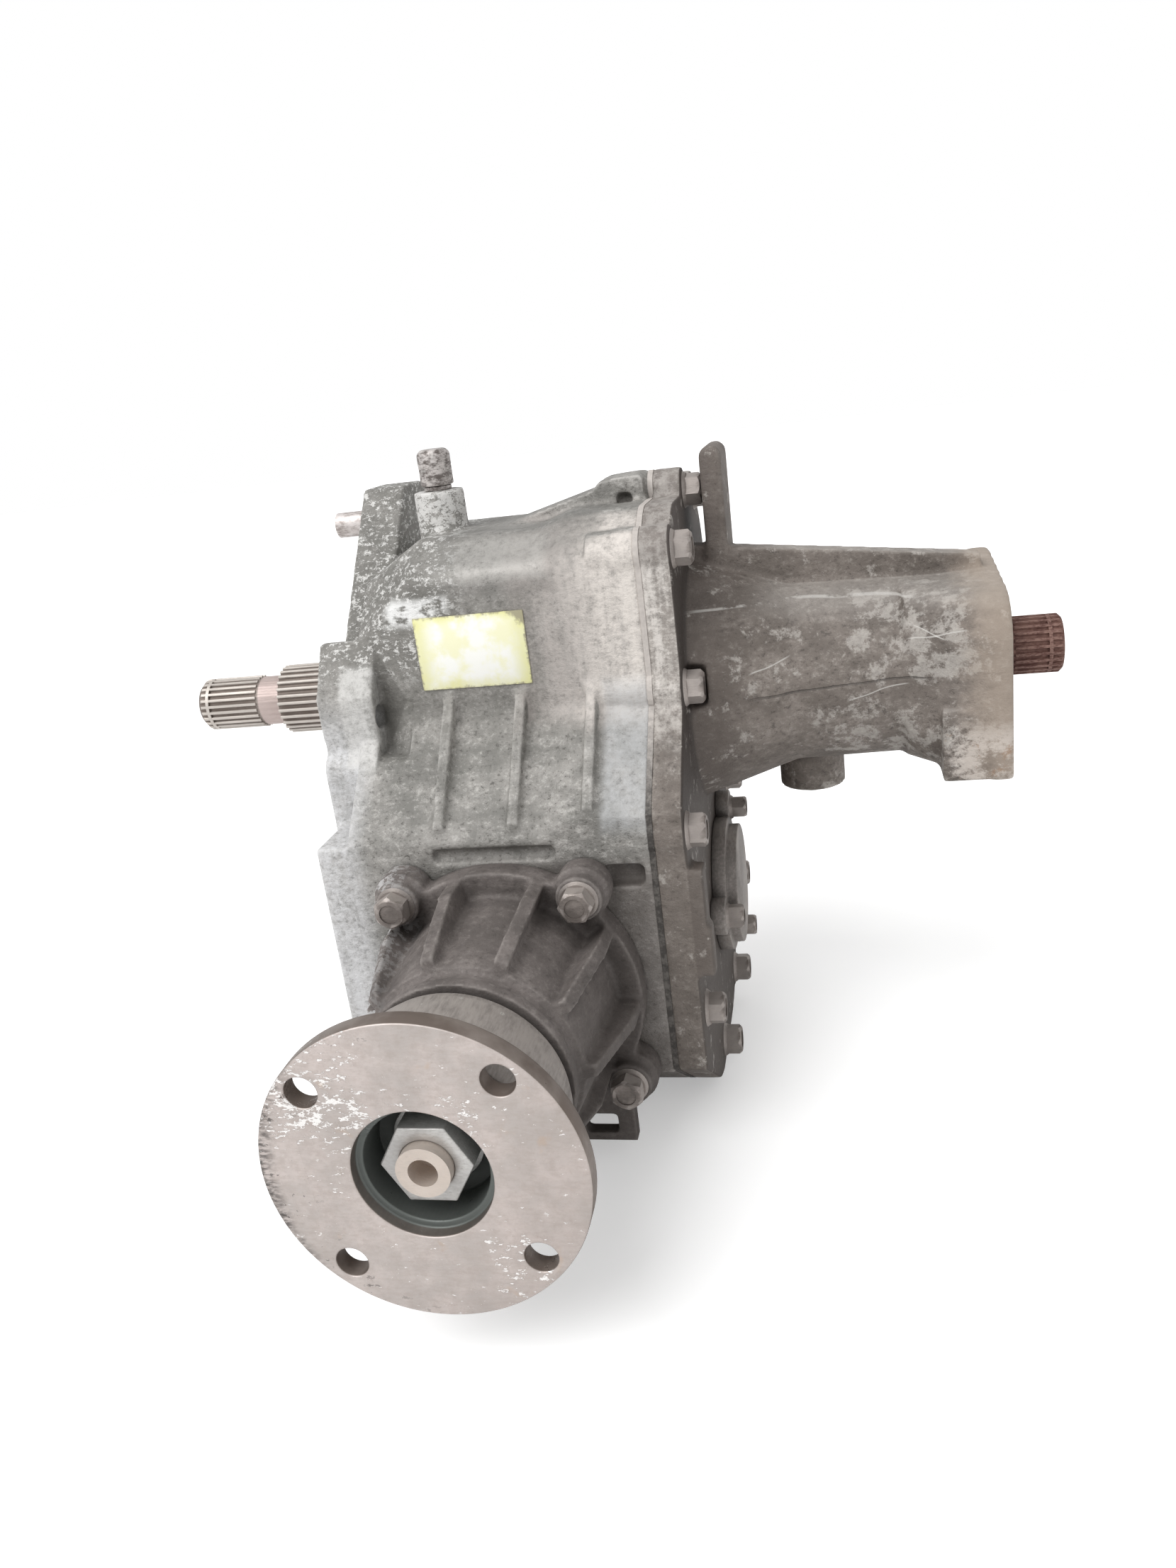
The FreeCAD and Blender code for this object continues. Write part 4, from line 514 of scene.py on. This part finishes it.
def plate_finish():
    """Bare identification plate: pale, washed yellow, chipped at its edges."""
    f = Finish("bare worn plate")
    across = f.x - PLATE_MIDDLE[0] * MM
    up = f.z - PLATE_MIDDLE[1] * MM
    cloud = f.noise(12, 4, 0.6, seed=3)
    color = f.blend(f.step(cloud - up * 4, 0.38, 0.62), (0.90, 0.89, 0.62), (0.95, 0.95, 0.90))
    drift = cloud * 8 * MM
    sides = f.step(abs(across) + drift, 20 * MM, 29 * MM)
    border = sides | f.step(up + drift, -6 * MM, -14 * MM) | f.step(up - drift, 8 * MM, 14 * MM)
    color = f.blend(border * 0.55, color, (0.72, 0.70, 0.16))
    chipped_side = f.step(abs(across) + f.noise(3, 4, 0.7, seed=5) * 5 * MM, 27 * MM, 28.5 * MM)
    chipped_edge = f.step(abs(up) + f.noise(3, 4, 0.7, seed=6) * 5 * MM, 18 * MM, 19.5 * MM)
    corner = f.step(across + up + f.noise(4, 4, 0.75, seed=7) * 10 * MM, 38 * MM, 41 * MM)
    color = f.blend((chipped_side | chipped_edge | corner) * 0.85, color, (0.30, 0.27, 0.20))
    fine = f.noise(0.8, 2, 0.6)
    return f.close(color, 0.42 + fine * 0.15, 0.0, fine + cloud, 0.06)


def plain_metal(name, dark, pale, metal, rough, size=6):
    """Metal that is mostly out of sight: clouded, with fine turning marks."""
    f = Finish(name)
    cloud = f.noise(size, 4, 0.6, seed=1)
    fine = f.noise(0.9, 2, 0.6, (4, 1, 1), seed=7)
    color = f.blend(f.step(cloud * 0.7 + fine * 0.3, 0.35, 0.66), dark, pale)
    return f.close(color, rough + fine * 0.12, metal, fine, 0.05)


def rubber_finish():
    f = Finish("oil seal rubber")
    dust = f.noise(4, 4, 0.7)
    color = f.blend(f.step(dust, 0.45, 0.7), (0.022, 0.021, 0.020), (0.075, 0.068, 0.06))
    return f.close(color, 0.62 + dust * 0.15, 0.0, dust, 0.08)


def compound_finish():
    """Joint compound: black and lumpy below, the castings' pale dust on it further up."""
    f = Finish("joint compound")
    lump = f.noise(3, 4, 0.7)
    color = f.blend(f.step(lump, 0.4, 0.65), (0.045, 0.04, 0.036), (0.12, 0.11, 0.10))
    high = f.step(f.z + lump * 30 * MM, -30 * MM, 30 * MM)
    color = f.blend(high * (0.5 + lump * 0.5), color, (0.66, 0.61, 0.57))
    return f.close(color, 0.6 + lump * 0.15, 0.0, lump, 0.15)


FINISHES = {
    "case_casting": case_finish(),
    "housing_casting": housing_finish(),
    "cover_casting": cover_finish(),
    "bolt_steel": bolt_finish(),
    "flange_steel": flange_finish(),
    "nut_steel": nut_finish(),
    "shaft_steel": shaft_finish(),
    "gear_steel": plain_metal("gear steel", (0.20, 0.20, 0.20), (0.38, 0.37, 0.36), 0.8, 0.32),
    "bearing_steel": plain_metal("bearing steel", (0.46, 0.46, 0.47), (0.62, 0.62, 0.63), 0.9, 0.22),
    "bronze": plain_metal("bush bronze", (0.36, 0.24, 0.10), (0.56, 0.40, 0.18), 0.85, 0.35),
    "seal_rubber": rubber_finish(),
    "gasket": compound_finish(),
    "damper": damper_finish(),
    "plate": plate_finish(),
    "cap_steel": cap_finish(),
}
FINISHES["rusty_steel"] = FINISHES["shaft_steel"]
DOWEL = dowel_finish()
SLOTS = {row["node"]: row["material_slot"] for row in frame["record"]["subparts"]}


# ---------------------------------------------------------------- making pieces
def put_on(obj, material):
    obj.data.materials.clear()
    obj.data.materials.append(material)


def triangles(mesh):
    return sum(len(polygon.vertices) - 2 for polygon in mesh.polygons)


def settle(obj):
    """Works the object's modifiers into its mesh and takes them off."""
    bpy.context.view_layer.update()
    mesh = bpy.data.meshes.new_from_object(obj.evaluated_get(bpy.context.evaluated_depsgraph_get()))
    obj.modifiers.clear()
    obj.data = mesh


def copied(node, name):
    """A merged copy of a node's mesh as a new object."""
    mesh = nodes[node].data.copy()
    form = bmesh.new()
    form.from_mesh(mesh)
    bmesh.ops.remove_doubles(form, verts=form.verts, dist=0.002 * MM)
    form.to_mesh(mesh)
    form.free()
    obj = bpy.data.objects.new(name, mesh)
    bpy.context.scene.collection.objects.link(obj)
    return obj


def stands_for(obj, node, material=None):
    """Gives a finished piece its finish, its body, its slot and the node that it replaces."""
    put_on(obj, material or FINISHES[SLOTS[node]])
    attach(obj, nodes[node]["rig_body"])
    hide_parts(node)


def cast_skin(node, name, grain):
    """A casting: its form as an even skin, eased so that edges and corners run round, then thinned."""
    easing, most_faces, quick_grain = 5, 190000, 1.8
    obj = copied(node, name)
    skin = obj.modifiers.new("skin", "REMESH")
    skin.mode = "VOXEL"
    skin.voxel_size = grain * MM
    ease = obj.modifiers.new("ease", "SMOOTH")
    ease.factor = 0.5
    ease.iterations = easing
    settle(obj)
    count = triangles(obj.data)
    if count > most_faces:
        thin = obj.modifiers.new("thin", "DECIMATE")
        thin.ratio = most_faces / count
        settle(obj)
    obj.data.shade_smooth()
    stands_for(obj, node)


def eased_edges(node, name, width, segments=2, material=None):
    """A machined piece: flats made whole again and every sharp edge broken by a small chamfer."""
    flat_angle, sharp_angle, crease_angle = math.radians(0.6), math.radians(28), math.radians(36)
    obj = copied(node, name)
    form = bmesh.new()
    form.from_mesh(obj.data)
    bmesh.ops.dissolve_limit(form, angle_limit=flat_angle, verts=form.verts, edges=form.edges)
    form.to_mesh(obj.data)
    form.free()
    bevel = obj.modifiers.new("edges", "BEVEL")
    bevel.width = width * MM
    bevel.segments = segments
    bevel.limit_method = "ANGLE"
    bevel.angle_limit = sharp_angle
    bevel.harden_normals = False
    settle(obj)
    obj.data.shade_smooth()
    obj.data.set_sharp_from_angle(angle=crease_angle)
    stands_for(obj, node, material)


# ---------------------------------------------------------------- bolts, by geometry nodes
def bolt_tree():
    """Flanged hex bolts on the points given, heads along an axis, each turned by its own chance angle."""
    tree = bpy.data.node_groups.new("flanged bolts", "GeometryNodeTree")
    face = tree.interface
    face.new_socket("Seats", in_out="INPUT", socket_type="NodeSocketGeometry")
    for name in (
            "Across flats", "Head height", "Washer radius", "Washer height", "Shank radius", "Shank length"):
        face.new_socket(name, in_out="INPUT", socket_type="NodeSocketFloat")
    face.new_socket("Axis", in_out="INPUT", socket_type="NodeSocketVector")
    face.new_socket("Seed", in_out="INPUT", socket_type="NodeSocketInt")
    face.new_socket("Finish", in_out="INPUT", socket_type="NodeSocketMaterial")
    face.new_socket("Bolts", in_out="OUTPUT", socket_type="NodeSocketGeometry")
    given = tree.nodes.new("NodeGroupInput")

    def node(kind, settings=None, **links):
        made = tree.nodes.new(kind)
        for key, value in (settings or {}).items():
            setattr(made, key, value)
        for key, value in links.items():
            socket = made.inputs[key.replace("_", " ")]
            if isinstance(value, bpy.types.NodeSocket):
                tree.links.new(value, socket)
            elif isinstance(value, list):
                for item in value:
                    tree.links.new(item, socket)
            else:
                socket.default_value = value
        return made

    def reckon(operation, first, second):
        made = node("ShaderNodeMath", {"operation": operation})
        for socket, value in zip(made.inputs, (first, second)):
            if isinstance(value, bpy.types.NodeSocket):
                tree.links.new(value, socket)
            else:
                socket.default_value = value
        return made.outputs[0]

    def metres(name, share=1.0):
        return reckon("MULTIPLY", given.outputs[name], share * MM)

    def bar(vertices, radius, depth, middle, tip=None):
        """Round or many-sided bar about Z, with its middle at a height."""
        if tip is None:
            form = node("GeometryNodeMeshCylinder", Vertices=vertices, Radius=radius, Depth=depth)
            base = middle
        else:
            form = node("GeometryNodeMeshCone", Vertices=vertices, Radius_Top=tip, Radius_Bottom=radius,
                        Depth=depth)
            base = reckon("SUBTRACT", middle, reckon("MULTIPLY", depth, 0.5))
        shift = node("ShaderNodeCombineXYZ", Z=base)
        moved = node("GeometryNodeTransform", Geometry=form.outputs[0], Translation=shift.outputs[0])
        return moved.outputs[0]

    flats, head, washer_high = metres("Across flats"), metres("Head height"), metres("Washer height")
    middle = reckon("ADD", washer_high, reckon("MULTIPLY", head, 0.5))
    top = reckon("ADD", washer_high, head)
    hexagon = bar(6, reckon("MULTIPLY", flats, 1 / math.sqrt(3)), head, middle)
    crown = bar(48, reckon("MULTIPLY", flats, 1.05), head, middle, reckon("MULTIPLY", flats, 0.46))
    chamfered = node("GeometryNodeMeshBoolean", {"operation": "INTERSECT", "solver": "EXACT"})
    tree.links.new(hexagon, chamfered.inputs[1])
    tree.links.new(crown, chamfered.inputs[1])
    dish = bar(40, reckon("MULTIPLY", flats, 0.33), 1.2 * MM, top)
    dished = node("GeometryNodeMeshBoolean", {"operation": "DIFFERENCE", "solver": "EXACT"})
    tree.links.new(chamfered.outputs[0], dished.inputs[0])
    tree.links.new(dish, dished.inputs[1])
    washer = bar(40, metres("Washer radius"), washer_high, reckon("MULTIPLY", washer_high, 0.5),
                 metres("Washer radius", 0.88))
    length = metres("Shank length")
    shank = bar(24, metres("Shank radius"), length, reckon("MULTIPLY", length, -0.5))
    whole = node("GeometryNodeJoinGeometry")
    for part in (shank, washer, dished.outputs[0]):
        tree.links.new(part, whole.inputs[0])
    turn = node("FunctionNodeRandomValue", {"data_type": "FLOAT"}, Seed=given.outputs["Seed"])
    turn.inputs[3].default_value = math.radians(60)
    spin = node("ShaderNodeCombineXYZ", Z=turn.outputs[1])
    align = node("FunctionNodeAlignEulerToVector", {"axis": "Z"}, Vector=given.outputs["Axis"])
    place = node("FunctionNodeRotateEuler", {"rotation_type": "EULER", "space": "LOCAL"},
                 Rotation=align.outputs[0], Rotate_By=spin.outputs[0])
    stand = node("GeometryNodeInstanceOnPoints", Points=given.outputs["Seats"], Instance=whole.outputs[0],
                 Rotation=place.outputs[0])
    real = node("GeometryNodeRealizeInstances", Geometry=stand.outputs[0])
    finish = node("GeometryNodeSetMaterial", Geometry=real.outputs[0], Material=given.outputs["Finish"])
    out = tree.nodes.new("NodeGroupOutput")
    tree.links.new(finish.outputs[0], out.inputs[0])
    return tree


BOLTS = bolt_tree()


def bolts(node, name, seats, axis, sizes, seed):
    """Bolts that replace one node, set on seats given in millimetres."""
    mesh = bpy.data.meshes.new(name)
    mesh.from_pydata([Vector(seat) * MM for seat in seats], [], [])
    obj = bpy.data.objects.new(name, mesh)
    bpy.context.scene.collection.objects.link(obj)
    modifier = obj.modifiers.new("bolts", "NODES")
    modifier.node_group = BOLTS
    settings = {"Axis": axis, "Seed": seed, "Finish": FINISHES[SLOTS[node]], **sizes}
    for item in BOLTS.interface.items_tree:
        if item.in_out == "INPUT" and item.name in settings:
            modifier[item.identifier] = settings[item.name]
    settle(obj)
    stands_for(obj, node)


# seats in millimetres: (y, z) on the cover, (x, z) from the pinion axis on the housing
RIM_SEATS = [
    (-54, 66), (6, 84), (-56, 6), (-94, -46), (-87, -135), (-34, -184),
    (38, -182), (80, -143), (80, -83), (66, -22), (66, 34), (42, 79)]
HOUSING_SEATS = [(-41, 49), (39, 49), (50.5, -40), (-50.5, -40)]
CAP_CIRCLE = 39
CAP_TURNS = [math.radians(turn) for turn in (60, 180, 300)]
CAP_SEATS = [(CAP_CIRCLE * math.cos(turn), LOW_Z + CAP_CIRCLE * math.sin(turn)) for turn in CAP_TURNS]
HEADS = {"Head height": 7.0, "Washer height": 1.5}
M8 = {**HEADS, "Across flats": 13.0, "Washer radius": 8.5, "Shank radius": 4.0}
M6 = {**HEADS, "Across flats": 10.0, "Washer radius": 6.5, "Shank radius": 3.0}
bolts("cover_bolts", "cover_screws", [(COVER_FACE, y, z) for y, z in RIM_SEATS], (1, 0, 0),
      {**M8, "Shank length": 30.5}, 3)
bolts("housing_bolts", "housing_screws", [(OUTPUT_X + x, HOUSING_FACE, LOW_Z + z) for x, z in HOUSING_SEATS],
      (0, -1, 0), {**M8, "Shank length": 34.5}, 5)
bolts("cap_bolts", "cap_screws", [(COVER_FACE + CAP_FLANGE, y, z) for y, z in CAP_SEATS], (1, 0, 0),
      {**M6, "Shank length": 18.0}, 8)

# ---------------------------------------------------------------- castings
cast_skin("main_case", "case_body", 1.25)
cast_skin("pinion_housing", "housing_body", 1.0)
cast_skin("side_cover", "cover_body", 1.25)

# joint compound squeezed into the groove between the two rounded rims
bead = copied("cover_gasket", "joint_bead")
joint_middle = (COVER_START - GASKET / 2) * MM
BEAD_HALF = 1.2 * MM
for vertex in bead.data.vertices:
    vertex.co.x = joint_middle + math.copysign(BEAD_HALF, vertex.co.x - joint_middle)
stands_for(bead, "cover_gasket")

# ---------------------------------------------------------------- machined pieces
for node, name, width in (
        ("companion_flange", "output_flange", 0.8), ("flange_nut", "output_nut", 0.9),
        ("flange_washer", "output_washer", 0.3), ("damper_ring", "damper_drum", 1.0),
        ("input_shaft", "hollow_shaft", 0.5), ("through_shaft", "long_shaft", 0.5),
        ("breather_cap", "vent_cap", 0.8), ("breather_tube", "vent_stem", 0.4),
        ("lower_bearing_cap", "bearing_cover", 1.2), ("label_plate", "bare_plate", 0.15),
        ("fill_plug", "oil_fill_plug", 0.6), ("drain_plug", "oil_drain_plug", 0.6),
        ("dust_ring", "dust_cover", 0.5)):
    eased_edges(node, name, width)
eased_edges("dowel_pins", "locating_dowels", 1.6, 3, DOWEL)

# nodes that stay as the solids have them
for name, obj in nodes.items():
    put_on(obj, FINISHES[SLOTS[name]])
put_on(nodes["snap_rings"], FINISHES["rusty_steel"])


# ---------------------------------------------------------------- floor, light and camera
def stage():
    """A pale floor under the part, with a little glow of its own towards the camera."""
    size = 6.0
    low = cad_box[0][2]
    mesh = bpy.data.meshes.new("floor")
    mesh.from_pydata([(-size, -size, low), (size, -size, low), (size, size, low), (-size, size, low)], [],
                     [(0, 1, 2, 3)])
    floor = bpy.data.objects.new("floor", mesh)
    bpy.context.scene.collection.objects.link(floor)
    f = Finish("pale floor")
    fine = f.noise(30, 2)
    f.close(f.blend(fine, (0.90, 0.90, 0.90), (0.93, 0.93, 0.93)), 0.85, 0.0)
    seen = f.node("ShaderNodeLightPath", {}, [], "Is Camera Ray")
    glow = f.node("ShaderNodeEmission", {}, {"Color": (1, 1, 1), "Strength": 0.35})
    nothing = f.node("ShaderNodeEmission", {}, {"Color": (0, 0, 0), "Strength": 0.0})
    added = f.node("ShaderNodeMixShader", {}, [seen, nothing, glow])
    whole = f.node("ShaderNodeAddShader", {}, [Tone(f, f.shader.outputs[0]), added])
    f.tree.links.new(whole.socket, f.tree.nodes["Material Output"].inputs[0])
    put_on(floor, f.material)


def studio():
    """A soft white room that looks brighter to the camera than it lights the part."""
    world = bpy.data.worlds.new("studio")
    world.use_nodes = True
    bpy.context.scene.world = world
    tree = world.node_tree
    tree.nodes.clear()
    path = tree.nodes.new("ShaderNodeLightPath")
    seen = tree.nodes.new("ShaderNodeMath")
    seen.operation = "MAXIMUM"
    tree.links.new(path.outputs["Is Camera Ray"], seen.inputs[0])
    tree.links.new(path.outputs["Is Transmission Ray"], seen.inputs[1])
    mix = tree.nodes.new("ShaderNodeMixShader")
    tree.links.new(seen.outputs[0], mix.inputs[0])
    for place, strength in ((1, 0.42), (2, 1.0)):
        room = tree.nodes.new("ShaderNodeBackground")
        room.inputs["Color"].default_value = (1, 1, 1, 1)
        room.inputs["Strength"].default_value = strength
        tree.links.new(room.outputs[0], mix.inputs[place])
    out = tree.nodes.new("ShaderNodeOutputWorld")
    tree.links.new(mix.outputs[0], out.inputs[0])


def lights():
    for name, direction, strength, spread in (
            ("key", (0.45, 0.55, -0.85), 2.3, 50), ("fill", (-0.8, 0.5, -0.35), 0.6, 80),
            ("back", (0.1, -0.8, -0.6), 0.5, 80)):
        light = bpy.data.lights.new(name, "SUN")
        light.energy = strength
        light.angle = math.radians(spread)
        lamp = bpy.data.objects.new(name, light)
        lamp.rotation_euler = Vector(direction).to_track_quat("-Z", "Y").to_euler()
        bpy.context.scene.collection.objects.link(lamp)


def camera():
    """The camera, from its own axes and its place."""
    right = Vector((0.97539219, 0.18442, -0.12082772))
    down = Vector((-0.05233201, -0.33871253, -0.93943344))
    ahead = Vector((-0.21417618, 0.9226392, -0.32072649))
    data = bpy.data.cameras.new("camera")
    data.sensor_width = 36
    data.lens = 27.065
    obj = bpy.data.objects.new("camera", data)
    turn = Matrix((right, -down, -ahead)).transposed()
    obj.matrix_world = Matrix.Translation((0.23456, -0.55286, 0.13644)) @ turn.to_4x4()
    bpy.context.scene.collection.objects.link(obj)
    bpy.context.scene.camera = obj


stage()
studio()
lights()
camera()
bpy.context.scene.view_settings.view_transform = "Standard"
